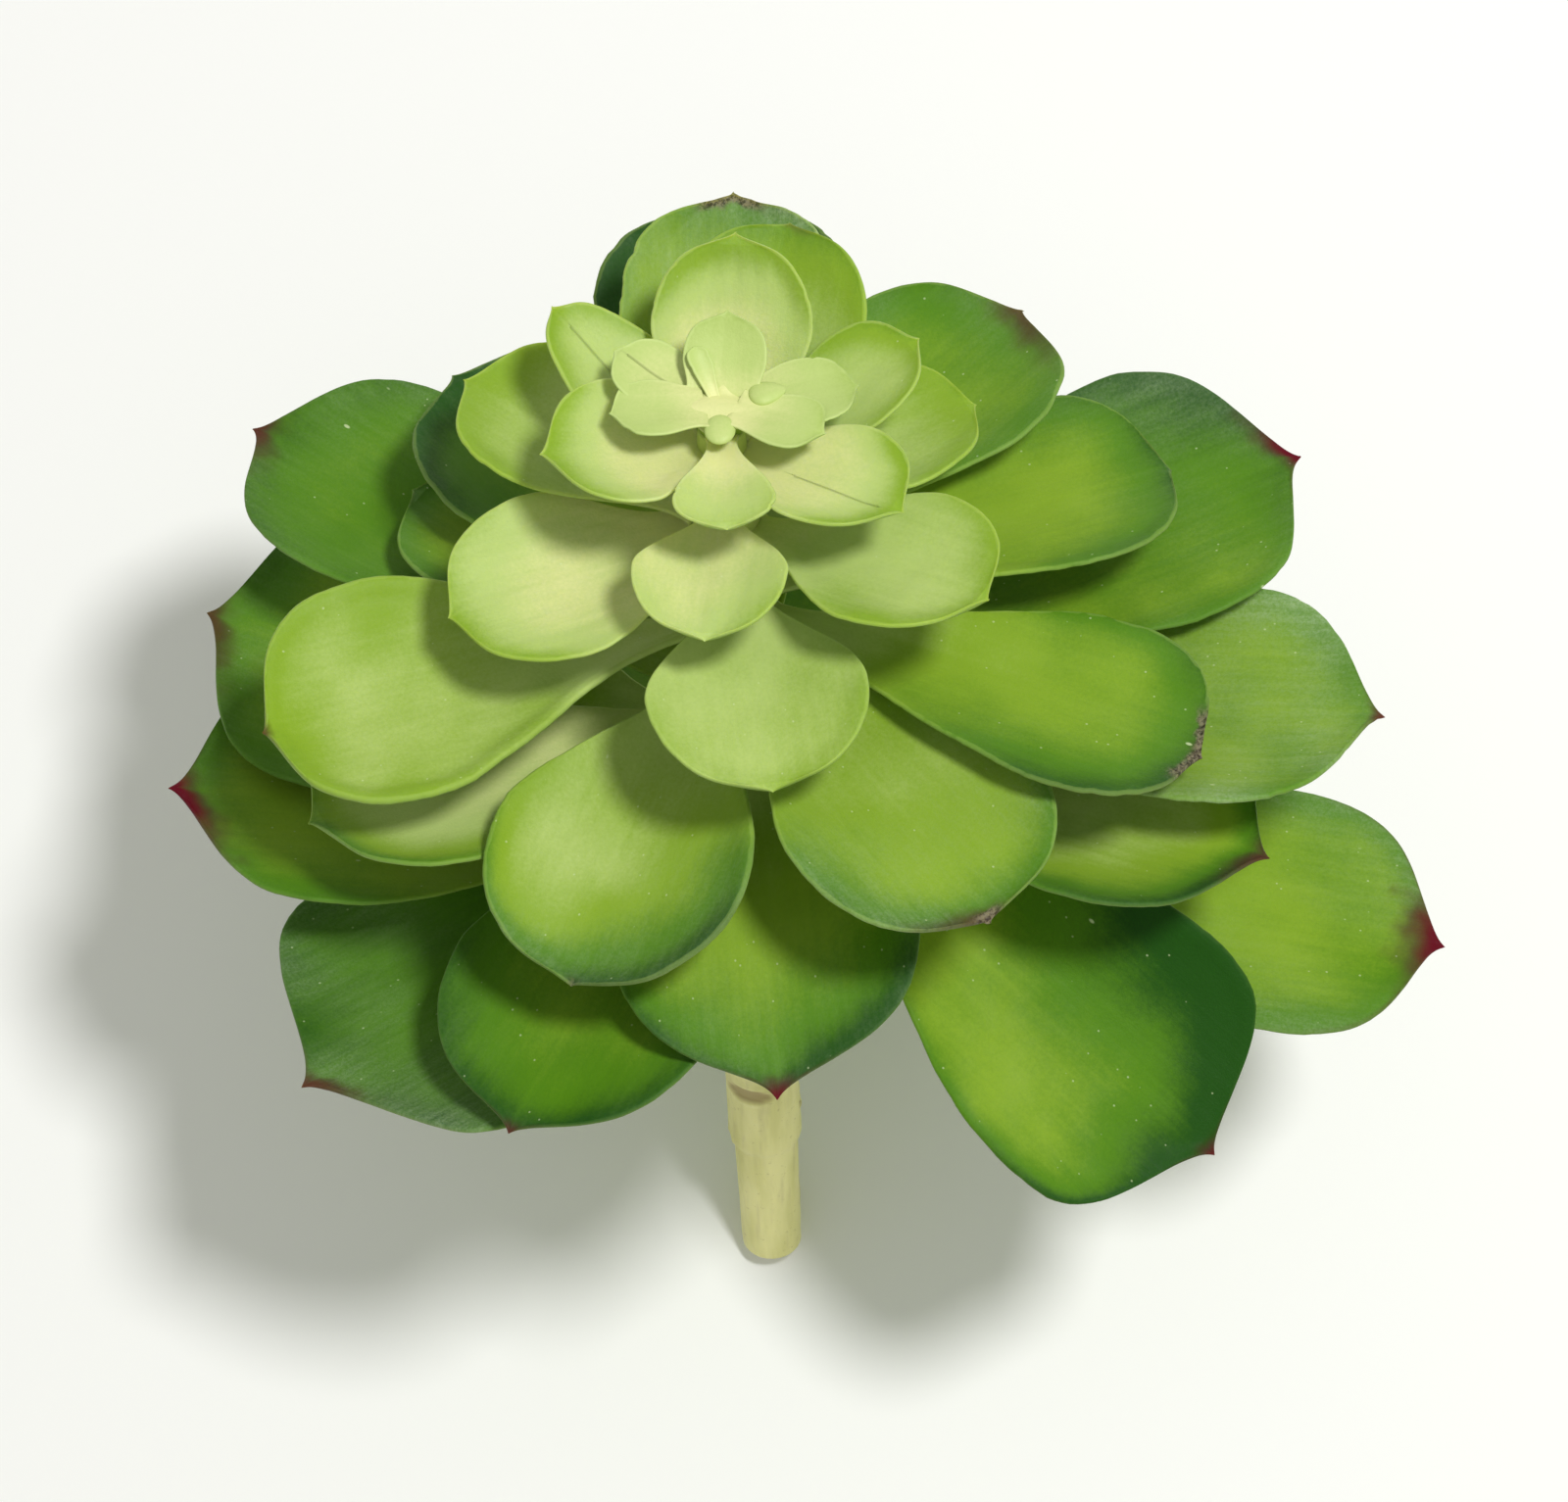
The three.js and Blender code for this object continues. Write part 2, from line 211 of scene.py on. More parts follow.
# How a leaf looks. core and rim say how green it is in the middle and at its margin, from 0, cream, to
# 1, deep green; band is how far the margin's green reaches in (mm); deepen adds green toward the tip,
# and lean toward one side (-1 to 1, as across); on the older leaves that deeper green at the rim, toward
# the tip and on one side is partly their own colour and partly painted shade under their edges and on the
# side that turns from the lamp; bloom is the waxy dust; blush is the size of the flushed tip, red how
# strong it is and drift how far it runs down one side; scar is the length of corky edge by the tip and
# nick the depth of small notches; lip is the height of the turned-up edge and fold the depth of long
# folds (mm); crease is where a hairline fold runs, as a share of the half width, and the fold is darkened
# as painted shade; flare is how blunt the shoulders of the tip are, and edge is how thick the margin is
# (mm).
PLAIN = dict(lean=0, bloom=0, blush=0, red=1, drift=0, scar=0, nick=0, lip=0, crease=None)
LOOKS = {
    "skirt": dict(core=0.6, rim=0.9, band=8, deepen=0.06, bloom=0.3, blush=4, lip=0.1, fold=0.2, flare=1,
                  edge=0.9),
    "outer": dict(core=0.6, rim=0.82, band=8, deepen=0.06, bloom=0.3, blush=3.5, lip=0.2, fold=0.2,
                  flare=1, edge=0.9),
    "middle": dict(core=0.42, rim=0.66, band=7, deepen=0.1, bloom=0.15, lip=0.15, fold=0.2, flare=1.9,
                   edge=0.8),
    "upper": dict(core=0.3, rim=0.46, band=6, deepen=0.08, bloom=0.1, lip=0.05, fold=0.25, flare=1.5,
                  edge=0.7),
    "inner": dict(core=0.16, rim=0.32, band=4, deepen=0.12, fold=0.12, flare=1.3, edge=0.6),
    "bud": dict(core=0.17, rim=0.26, band=2.5, deepen=0.03, fold=0.05, flare=1.2, edge=0.45),
}
# skirt_5, outer_1 and outer_5 have paler cores than their whorls: painted light that lifts the shade the
# leaves above cast on them.
LEAF_LOOKS = {
    "skirt_1": dict(core=0.5, rim=0.94, band=9, deepen=0.2, lean=0.9, blush=2.6, red=0.8, bloom=0,
                    flare=1),
    "skirt_2": dict(core=0.4, rim=0.88, band=9, deepen=0.12, lean=0.5, bloom=0.2, blush=3, red=0.9),
    "skirt_3": dict(core=0.58, rim=0.9, band=8, lean=-0.1, bloom=0.1, blush=1.8, red=0.7, flare=1.5),
    "skirt_4": dict(core=0.72, rim=0.82, band=9, bloom=0.6, blush=2.8, red=0.72, drift=0.9),
    "skirt_5": dict(core=0.44, rim=0.74, bloom=0.2, blush=4.4, drift=0.8),
    "skirt_6": dict(core=0.48, rim=0.68, band=5, deepen=0.1, bloom=0.4, blush=7.5, fold=0.3),
    "skirt_7": dict(core=0.74, bloom=0.5, blush=3),
    "skirt_8": dict(core=0.7, bloom=0.5, blush=3),
    "outer_1": dict(core=0.3, rim=0.88, band=5.5, deepen=0.04, lean=-0.5, blush=3.2, red=0.62, drift=-0.8,
                    bloom=0.1),
    "outer_2": dict(core=0.52, rim=0.66, bloom=0.8, blush=2.4, red=0.8, deepen=0.04, nick=0.25),
    "outer_3": dict(core=0.62, rim=0.84, band=10, lean=0.7, bloom=0.3, blush=3, drift=0.6),
    "outer_4": dict(core=0.68, rim=0.78, bloom=0.25, blush=4, red=0.75, drift=0.4),
    "outer_5": dict(core=0.5, rim=0.74, bloom=0.35, blush=4, red=0.65, drift=0.8, lip=0.6),
    "outer_6": dict(core=0.7, rim=0.9),
    "outer_7": dict(core=0.7, rim=0.9),
    "outer_8": dict(core=0.72, rim=0.9),
    "middle_1": dict(core=0.33, rim=0.5, band=5, deepen=0.04, lip=1, edge=1.3, blush=1.3, red=0.7,
                     flare=3, mucro=1.5),
    "middle_2": dict(core=0.14, rim=0.62, band=5, lean=0.4, bloom=0.2, lip=0.4),
    "middle_3": dict(core=0.33, rim=0.8, band=7, deepen=0.1, lean=0.6, bloom=0.3, lip=0.7, edge=1.1,
                     scar=2, nick=0.12, flare=7, mucro=1.2),
    "middle_4": dict(core=0.27, rim=0.4, deepen=0.03, lean=0.3, lip=0.1, fold=0.12, flare=7, mucro=1),
    "middle_5": dict(core=0.37, rim=0.72, band=6, deepen=0.1, lean=-0.4, bloom=0.4, blush=3.2, red=0.6,
                     drift=-0.9, scar=4, flare=5, mucro=1.4),
    "middle_6": dict(core=0.46, rim=0.82, band=8, deepen=0.1, lean=-0.5, scar=9, blush=2.4, red=0.5,
                     nick=0.2, flare=4, mucro=1.2),
    "middle_7": dict(core=0.38, rim=0.7, band=8, deepen=0.18, fold=0.35, flare=3.5, mucro=1),
    "middle_8": dict(core=0.58, rim=0.74, band=8, deepen=0.04, blush=5, red=0.6, drift=-0.6, bloom=0.25),
    "middle_9": dict(core=0.46, rim=0.8, deepen=0.25),
    "middle_10": dict(core=0.4, rim=0.7, deepen=0.12),
    "middle_11": dict(core=0.7, rim=0.92, band=10, scar=7, blush=1.6, red=0.5, deepen=0.15, nick=0.4,
                      flare=4),
    "upper_1": dict(core=0.08, rim=0.38, band=5, lean=0.3, fold=0.45, flare=2.6, mucro=1.6),
    "upper_2": dict(core=0.1, rim=0.3, band=4, deepen=0.04, lean=0.3, fold=0.4, flare=4, mucro=1.2),
    "upper_3": dict(core=0.21, rim=0.44, fold=0.4, flare=2.6, mucro=1.4),
    "upper_4": dict(core=0.22, rim=0.46, lean=0.4, flare=2.5, mucro=1.4),
    "upper_5": dict(core=0.24, rim=0.42, nick=0.15),
    "upper_6": dict(core=0.4, rim=0.7, band=5, lean=-0.5, fold=0.9, bloom=1, scar=7, nick=0.35,
                    flare=2.2),
    "upper_7": dict(core=0.26, rim=0.52, blush=1.5, red=0.35, drift=-1, flare=5),
    "inner_1": dict(core=0.0, rim=0.44, band=5, deepen=0.08, fold=0.7, bloom=0.2, nick=0.1, flare=2.2),
    "inner_2": dict(core=0.14, rim=0.42, crease=0.0),
    "inner_3": dict(core=0.04, rim=0.38),
    "inner_4": dict(core=0.07, rim=0.22, nick=0.4, flare=7),
    "inner_5": dict(core=0.03, rim=0.42, crease=-0.1),
    "inner_6": dict(core=0.17, rim=0.45, lean=0.4),
    "bud_1": dict(fold=0.1),
    "bud_2": dict(crease=-0.05, nick=0.1),
    "bud_3": dict(nick=0.35),
    "bud_4": dict(nick=0.1),
    "bud_5": dict(nick=0.4),
    "bud_6": dict(flare=3, nick=0.2),
}
SLOTS = {
    "skirt": "outer_green", "outer": "outer_green", "middle": "middle_green", "upper": "upper_green",
    "inner": "heart_green",
}

# Masks of skin with nothing on it: far from any margin and from any hairline fold (mm).
FAR_MARGIN = 5
NO_CREASE = 9

# The stage: the main lamp's direction, as shares of the camera's right and up, and sizes in metres,
# apart from the sensor's, which is in mm.
KEY_RIGHT = 0.29
KEY_UP = 0.3
FLOOR_HALF = 3.0
VIEW_END = 20
SENSOR_WIDTH = 36


def paint(red, green, blue):
    """A colour given as it looks on a screen (0 to 255), as the linear colour that sockets take."""
    shares = np.array([red, green, blue]) / 255
    linear = np.where(shares <= 0.04045, shares / 12.92, ((shares + 0.055) / 1.055) ** 2.4)
    return tuple(float(value) for value in linear)


# Settings that a user would change.


def colour(name, description, default):
    """A colour setting, with its default as a linear colour."""
    return FloatVectorProperty(name=name, description=description, default=default, subtype="COLOR",
                               min=0, max=1)


class EcheveriaLeafSettings(bpy.types.PropertyGroup):
    """Fineness and wear of the leaves."""

    spacing: FloatProperty(name="Spacing", description="Distance between points along a leaf's edge",
                           default=1.25 * MM, min=0.4 * MM, unit="LENGTH")
    relief: FloatProperty(name="Relief", description="Height of the soft dents on the upper face",
                          default=0.14 * MM, min=0, unit="LENGTH")
    wander: FloatProperty(name="Wander", description="How far the edge strays in and out",
                          default=0.22 * MM, min=0, unit="LENGTH")
    wave: FloatProperty(name="Wave", description="How far the edge waves up and down",
                        default=0.3 * MM, min=0, unit="LENGTH")


class EcheveriaStemSettings(bpy.types.PropertyGroup):
    """Shape of the stem's skin."""

    sides: IntProperty(name="Sides", description="Points round the stem", default=96, min=24)
    rings: IntProperty(name="Rings", description="Points along the stem", default=260, min=60)
    scars: IntProperty(name="Scars", description="Scars of fallen leaves, in a spiral", default=9, min=0)


class EcheveriaColourSettings(bpy.types.PropertyGroup):
    """Colours of the plant."""

    cream: colour("Cream", "Palest part of the heart and of each leaf's foot", paint(226, 226, 160))
    lime: colour("Lime", "Young leaves", paint(184, 204, 120))
    leaf: colour("Leaf green", "Sunny yellow-green of the older leaves", paint(134, 167, 42))
    grass: colour("Grass green", "Shaded part of the older leaves", paint(82, 130, 20))
    deep: colour("Deep green", "Margins of the oldest leaves", paint(32, 78, 16))
    under: colour("Underside", "Pale underside of the leaves", paint(138, 168, 84))
    bloom: colour("Bloom", "Waxy dust on the skin", paint(172, 194, 152))
    blush: colour("Blush", "Red of the sunburnt tips", paint(96, 12, 28))
    cork: colour("Cork", "Healed, dry edges", paint(132, 124, 100))
    stem: colour("Stem", "Skin of the stem", paint(236, 232, 160))


class EcheveriaStageSettings(bpy.types.PropertyGroup):
    """Floor, light and camera."""

    floor: colour("Floor", "Colour of the floor", paint(250, 250, 248))
    key_power: FloatProperty(name="Key power", description="Power of the main lamp",
                             default=10.2, min=0, unit="POWER")
    key_size: FloatProperty(name="Key size", description="Width of the main lamp",
                            default=0.2, min=0.01, unit="LENGTH")
    key_distance: FloatProperty(name="Key distance", description="Main lamp to the middle of the rosette",
                                default=1.2, min=0.3, unit="LENGTH")
    fill: FloatProperty(name="Fill", description="Brightness of the pale surroundings", default=0.48, min=0)
    fill_color: colour("Fill colour", "Colour of the pale surroundings", (1.0, 1.0, 0.95))
    elevation: FloatProperty(name="Elevation", description="How steeply the camera looks down",
                             default=math.radians(79), subtype="ANGLE")
    roll: FloatProperty(name="Roll", description="Turn of the camera about its own axis",
                        default=math.radians(3.1), subtype="ANGLE")
    distance: FloatProperty(name="Distance", description="Camera to the middle of the rosette",
                            default=0.8, min=0.2, unit="LENGTH")
    target: FloatVectorProperty(name="Target", description="Point that the camera looks at",
                                default=(-3.24 * MM, -7.35 * MM, 103.78 * MM), subtype="TRANSLATION",
                                unit="LENGTH")
    lens: FloatProperty(name="Lens", description="Focal length for a sensor 36 mm wide",
                        default=117.65, min=10)


# Shapes: whole arrays worked out with numpy, in mm in the plant's own frame (+Z up the stem).


def smooth(share):
    """0 below 0, 1 above 1, and 3 t squared minus 2 t cubed between."""
    t = np.clip(share, 0, 1)
    return t * t * (3 - 2 * t)


def ripple(x, y, rng, kind):
    """Soft random relief of height about 1: plane waves of random direction and phase, one for each of
    a row of wavelengths, the short ones lower."""
    longest, shortest = WAVES[kind]
    wavelength = np.geomspace(longest, shortest, WAVE_COUNT)
    turn = rng.uniform(0, 2 * math.pi, WAVE_COUNT)
    phase = rng.uniform(0, 2 * math.pi, WAVE_COUNT)
    height = (wavelength / longest) ** WAVE_FALL
    travel = x[..., None] * np.cos(turn) + y[..., None] * np.sin(turn)
    waves = height * np.sin(2 * math.pi * travel / wavelength + phase)
    return waves.sum(-1) / np.sqrt((height ** 2).sum() / 2) / WAVE_CREST


def stem_radius(height):
    """Radius of the stem at a height: straight lines between the rows of its profile."""
    levels, radii = np.array(STEM_PROFILE).T
    return np.interp(height, levels, radii)


def seat_radius(leaf):
    """Distance from the axis at which a leaf starts: just clear of the stem, more for a sloping foot."""
    slope = math.sin(math.radians(leaf.pitch))
    lean = -slope * leaf.thickness if slope < 0 else slope * leaf.cup * leaf.neck * leaf.width / 2
    return float(stem_radius(leaf.rise - leaf.thickness)) + SEAT_GAP + lean


def grown(kind, number, row, foot=None, scale=None):
    """All values of one leaf: its whorl's, then its own place and size, then its looks, where the later
    ones win. foot is its distance from the axis, and scale how finely it is drawn, which otherwise
    follows its length."""
    looks = {**PLAIN, **LOOKS[kind], **LEAF_LOOKS.get(f"{kind}_{number}", {})}
    leaf = SimpleNamespace(**{**STRAIGHT, "foot": foot, "scale": scale, **WHORLS[kind], **row, **looks})
    if scale is None:
        leaf.scale = min(1, max(LEAST_SCALE, leaf.length / FULL_LENGTH))
    return leaf


def flat_outline(leaf):
    """A blade laid flat: distances along the midrib (mm) and the half width at each.

    A neck swells smoothly to the belly. Past it the half width is the cosine of a quarter turn and the
    distance a power of its sine, which is a superellipse. The soft minimum of that and of a power of the
    distance from the end makes the hollow shoulders, and a short thread makes the very tip.
    """
    end = leaf.length + leaf.mucro
    belly = leaf.length - leaf.reach * leaf.width
    swell = np.linspace(0, 1, NECK_POINTS)
    turn = np.linspace(0, math.pi / 2, BELLY_POINTS)[1:]
    reached = np.sin(turn) ** (2 / leaf.blunt)
    along = np.concatenate([belly * swell, belly + (end - belly) * reached])
    body = np.concatenate([leaf.neck + (1 - leaf.neck) * smooth(swell), np.cos(turn)]) * leaf.width / 2
    body = np.maximum(body, 1e-6)
    before = np.maximum(end - along, 1e-9)
    hollow = (before / leaf.width) ** SHOULDER_POWER
    shoulders = leaf.flare * SHOULDER_WIDTH * leaf.width * hollow + 1e-9
    half = (body ** -SHOULDER_BLEND + shoulders ** -SHOULDER_BLEND) ** (-1 / SHOULDER_BLEND)
    thread = TIP_HALF_WIDTH * (1 - np.exp(-before / THREAD_ROUNDING)) * (1 - smooth(before / THREAD_LENGTH))
    return along, half + thread


def stations(along, half, spacing):
    """Distances along the midrib that lie evenly along the edge, and closer together toward the tip."""
    end = along[-1]
    middle = (along[1:] + along[:-1]) / 2
    near_tip = smooth((end - middle) / (TIP_ZONE * end))
    wanted = spacing * (TIP_SPACING + (1 - TIP_SPACING) * near_tip)
    marks = np.concatenate([[0], np.cumsum(np.hypot(np.diff(along), np.diff(half)) / wanted)])
    even = np.linspace(0, marks[-1] * LAST_STATION, int(marks[-1]) + 2)
    return np.interp(even, marks, along)


def midrib(leaf, along):
    """Place, direction, sideways direction and face normal of the midrib at distances along it.

    The direction's slope is pitch plus curl times the share of the length, its heading sweep times that
    share squared. The place is its running sum, and straight on before the foot and past the end. The
    roll grows smoothly over the first two thirds.
    """
    share = np.linspace(0, 1, MIDRIB_STEPS + 1)
    slope = np.radians(leaf.pitch + leaf.curl * share)
    heading = np.radians(leaf.sweep * share ** 2)
    ahead = np.stack([np.cos(slope) * np.cos(heading), np.cos(slope) * np.sin(heading), np.sin(slope)], 1)
    steps = (ahead[1:] + ahead[:-1]) / 2 * leaf.length / MIDRIB_STEPS
    path = np.concatenate([np.zeros((1, 3)), np.cumsum(steps, 0)])
    at = np.clip(along / leaf.length, 0, 1)
    direction = np.stack([np.interp(at, share, ahead[:, k]) for k in range(3)], 1)
    direction /= np.linalg.norm(direction, axis=1, keepdims=True)
    place = np.stack([np.interp(at, share, path[:, k]) for k in range(3)], 1)
    place += direction * (along - at * leaf.length)[:, None]
    place[:, 0] += seat_radius(leaf) if leaf.foot is None else leaf.foot
    level = np.stack([-direction[:, 1], direction[:, 0], np.zeros(len(at))], 1)
    level /= np.linalg.norm(level, axis=1, keepdims=True)
    up = np.cross(direction, level)
    turn = (np.radians(leaf.roll) * smooth(1.5 * at))[:, None]
    side = level * np.cos(turn) + up * np.sin(turn)
    normal = up * np.cos(turn) - level * np.sin(turn)
    return place, direction, side, normal


def edge_distance(x, y, along, half):
    """Distance (mm) of each point of a flat blade from its outline: the least over the outline."""
    pick = np.linspace(0, len(along) - 1, EDGE_SAMPLES).astype(int)
    gap = np.hypot(x[..., None] - along[pick], np.abs(y)[..., None] - half[pick])
    return gap.min(-1)


def ring_shares(leaf, spacing):
    """How the points of a ring go round a leaf: over the upper face, round one rim, back over the
    underside and round the other rim. Gives each point's share across (-1 to 1), how far out on a rim it
    is (0 to 1), and its level, from 1 on the upper face to -1 on the underside."""
    count = 2 * int(leaf.width / spacing / ACROSS_SPACING) + 7
    flat = np.linspace(-1, 1, count)
    flat = EVEN_SHARE * flat + (1 - EVEN_SHARE) * np.sin(math.pi / 2 * flat)
    bend = np.linspace(math.pi / 2, -math.pi / 2, RIM_POINTS + 2)[1:-1]
    still, ones = np.zeros(count), np.ones(RIM_POINTS)
    across = np.concatenate([flat, ones, flat[::-1], -ones])[None, :]
    outward = np.concatenate([still, np.cos(bend), still, np.cos(bend)])[None, :]
    level = np.concatenate([still + 1, np.sin(bend), still - 1, -np.sin(bend)])[None, :]
    return across, outward, level


def edge_shift(leaf, wander, along, end, side, rng):
    """How far one edge strays from the outline (mm): soft waves all along, small ones where it is corky,
    and notches in the outer half."""
    flat = 0 * along
    fresh = smooth(along / 12)
    calm = fresh * smooth((end - along) / 5)
    stray = wander * calm * ripple(along, side * 50 + flat, rng, "stray edge")
    corky = smooth(1 - (end - along) / max(leaf.scar, 0.1))
    crumbs = 0.35 * fresh * corky * ripple(along, flat, rng, "corky edge")
    outer_half = smooth((along / leaf.length - 0.5) / 0.3)
    notches = leaf.nick * outer_half * np.maximum(0, ripple(along, flat, rng, "nicks"))
    return stray + crumbs - notches


def laid_flat(leaf, settings, rng):
    """A leaf's blade laid flat: one row for each station along it and one column for each point of a
    ring. x and y are the distances along and across, margin the distance from the outline, half the half
    width (mm), and share the share of the length."""
    outline_along, outline_half = flat_outline(leaf)
    end = outline_along[-1]
    spacing = settings.spacing / MM * leaf.scale
    before_foot, wider = np.array(FOOT_RINGS).T
    along = np.concatenate([before_foot, stations(outline_along, outline_half, spacing)])
    half = np.interp(along, outline_along, outline_half)
    half[:len(wider)] += wider
    across, outward, level = ring_shares(leaf, spacing)
    wander = settings.wander / MM * leaf.scale
    left, right = (edge_shift(leaf, wander, along, end, side, rng) for side in (-1, 1))
    half_here = half[:, None] + np.where(across < 0, left[:, None], right[:, None])
    rim = np.minimum(leaf.edge / 2, 0.45 * half)[:, None]
    x = along[:, None] + 0 * across
    return SimpleNamespace(
        along=along, half=half[:, None], end=end, across=across, outward=outward, level=level, x=x,
        y=across * np.maximum(half_here - rim, 0.02) + np.sign(across) * outward * rim,
        margin=edge_distance(x, across * half[:, None], outline_along, outline_half),
        share=np.clip(along / leaf.length, 0, 1)[:, None],
    )


def heights(leaf, flat, settings, rng):
    """Height of each point of a flat blade over its midrib (mm), along the face normal.

    The body's is cup times the half width times the square of the share across, plus a turned-up lip and
    a waved edge. The upper face adds long folds and soft dents, the underside lies the depth below with
    fainter ones, and each rim is a half circle between them.
    """
    across, margin, share = flat.across, flat.margin, flat.share
    before_end = (flat.end - flat.along)[:, None]
    ended = np.clip(before_end / leaf.mucro, 0, 1)
    thick = leaf.thickness * (1 - TIP_THINNING * smooth(share))
    depth = (leaf.edge + (thick - leaf.edge) * (1 - across ** 2)) * np.maximum(ended, 0.03) ** 0.8
    lip = leaf.lip * (0.5 - smooth(margin / 3.6)) * smooth(share / 0.4) * smooth(before_end / 4)
    folds = sum(
        rng.uniform(0.5, 1) / k * np.cos(k * math.pi * across * rng.uniform(0.8, 1.2) + rng.uniform(0, 6.3))
        for k in (1, 2, 3, 5, 7)
    )
    quiet = smooth(share / 0.25) * smooth(margin / 3.5)
    dents = settings.relief / MM * ripple(flat.x, flat.y, rng, "dents")
    wave = settings.wave / MM * leaf.scale * ripple(flat.along, 0 * flat.along, rng, "waved edge")[:, None]
    wave = wave * np.abs(across) ** 3 * np.sign(across + 0.3) * smooth(share / 0.4) * smooth(before_end / 8)
    body = leaf.cup * flat.half * across ** 2 + lip + wave
    body = body - (1 - ended) * 0.45 * thick - 0.3 * leaf.edge * np.exp(-((margin / 0.9) ** 2))
    relief = (0.4 * leaf.fold * folds + dents) * quiet
    faces = np.where(flat.level > 0, body + relief, body - depth + 0.3 * relief)
    return np.where(flat.outward > 0, body - depth / 2 + flat.level * depth / 2, faces)


def blade(leaf, settings, rng):
    """A closed leaf: points (mm, foot at the axis and pointing along +X), faces and values for its skin.

    A point is the midrib's place plus its distance across times the sideways direction plus its height
    times the face normal. The last few mm are bent a little to one side and up.
    """
    flat = laid_flat(leaf, settings, rng)
    height = heights(leaf, flat, settings, rng)
    place, direction, side, normal = midrib(leaf, flat.along)
    hook = smooth(1 - (flat.end - flat.along) / (0.12 * leaf.width)) ** 2
    bend_side, bend_up = rng.uniform(-0.9, 0.9), rng.uniform(0.1, 0.9)
    place = place + leaf.scale * hook[:, None] * (bend_side * side + bend_up * normal)
    ring = place[:, None] + side[:, None] * flat.y[..., None] + normal[:, None] * height[..., None]
    foot = ring[0].mean(0) + direction[0] * (FOOT_POLE - flat.along[0])
    tip = place[-1] + direction[-1] * (flat.end - flat.along[-1]) + normal[-1] * height[-1].mean()
    points = np.concatenate([ring.reshape(-1, 3), [foot, tip]])

    def per_point(values, at_foot, at_tip):
        spread = np.broadcast_to(values, height.shape).ravel()
        return np.concatenate([spread, [at_foot, at_tip]]).astype(np.float32)

    skin = leaf_skin(leaf, flat, rng)
    values = {name: per_point(value, 0, value[-1].mean()) for name, value in skin.items()}
    values["margin"] = per_point(flat.margin, 0, 0)
    values["under"] = per_point((1 - flat.level) / 2, 1, 0.5)
    offset = float(rng.uniform(0, 900))
    pattern = [
        per_point(flat.x, FOOT_POLE, flat.end), per_point(flat.y, 0, 0), per_point(offset, offset, offset),
    ]
    values["blade"] = np.stack(pattern, 1)
    return points, tube_faces(*height.shape), values


def tube_faces(rings, ring_size):
    """Quads between neighbouring rings, and fans from the first ring to the last point but one and from
    the last ring to the last point: (quads, triangles), facing out when a ring turns clockwise about the
    way it goes."""
    index = np.arange(rings * ring_size).reshape(rings, ring_size)
    here, there = index[:-1], index[1:]
    turned = np.roll(index, -1, 1)
    quads = np.stack([here, there, turned[1:], turned[:-1]], -1).reshape(-1, 4)
    first, last = rings * ring_size, rings * ring_size + 1
    foot = np.stack([index[0], turned[0], np.full(ring_size, first)], 1)
    tip = np.stack([turned[-1], index[-1], np.full(ring_size, last)], 1)
    return quads, np.concatenate([foot, tip])


def blush_mask(leaf, flat, tip_distance, rng):
    """The flushed tip, 0 to 1: it falls with the distance from the tip and from the margin, reaches
    further on the side that it drifts down, and runs on as a thin line along the very edge."""
    if leaf.blush <= 0:
        return 0 * flat.x
    drift = np.maximum(0, leaf.drift * np.sign(flat.across)) * smooth(np.abs(flat.across) / 0.3)
    ragged = 1 + 0.12 * ripple(flat.x, flat.y, rng, "blush")
    tipward = tip_distance / (leaf.blush * (1 + 2.4 * drift))
    reach = np.hypot(tipward, flat.margin / (0.8 * leaf.blush)) * ragged
    edge = 0.55 * np.exp(-((tip_distance / (4 * leaf.blush)) ** 2) - flat.margin / 0.35)
    return leaf.red * np.maximum(np.exp(-0.7 * reach ** 2), edge)


def scar_mask(leaf, flat, tip_distance, rng):
    """The corky edge, 0 to 1: as far from the tip as the scar is long, and less than 2 mm or so wide."""
    if leaf.scar <= 0:
        return 0 * flat.x
    ragged = 0.45 * ripple(flat.x, flat.y, rng, "scar")
    return smooth((leaf.scar - tip_distance) / 3) * (1 - smooth((flat.margin - 0.9 + ragged) / 0.9))


def crease_distance(leaf, flat):
    """Signed distance (mm) from a hairline fold that winds a little along the blade, between a third of
    its length and just before its tip."""
    if leaf.crease is None:
        return NO_CREASE + 0 * flat.x
    away = flat.y - (0.25 * np.sin(flat.x / 5) + leaf.crease * 12)
    beyond = smooth((0.35 - flat.share) / 0.1) + smooth((flat.share - 0.93) / 0.03)
    return away + 6 * np.sign(away) * beyond


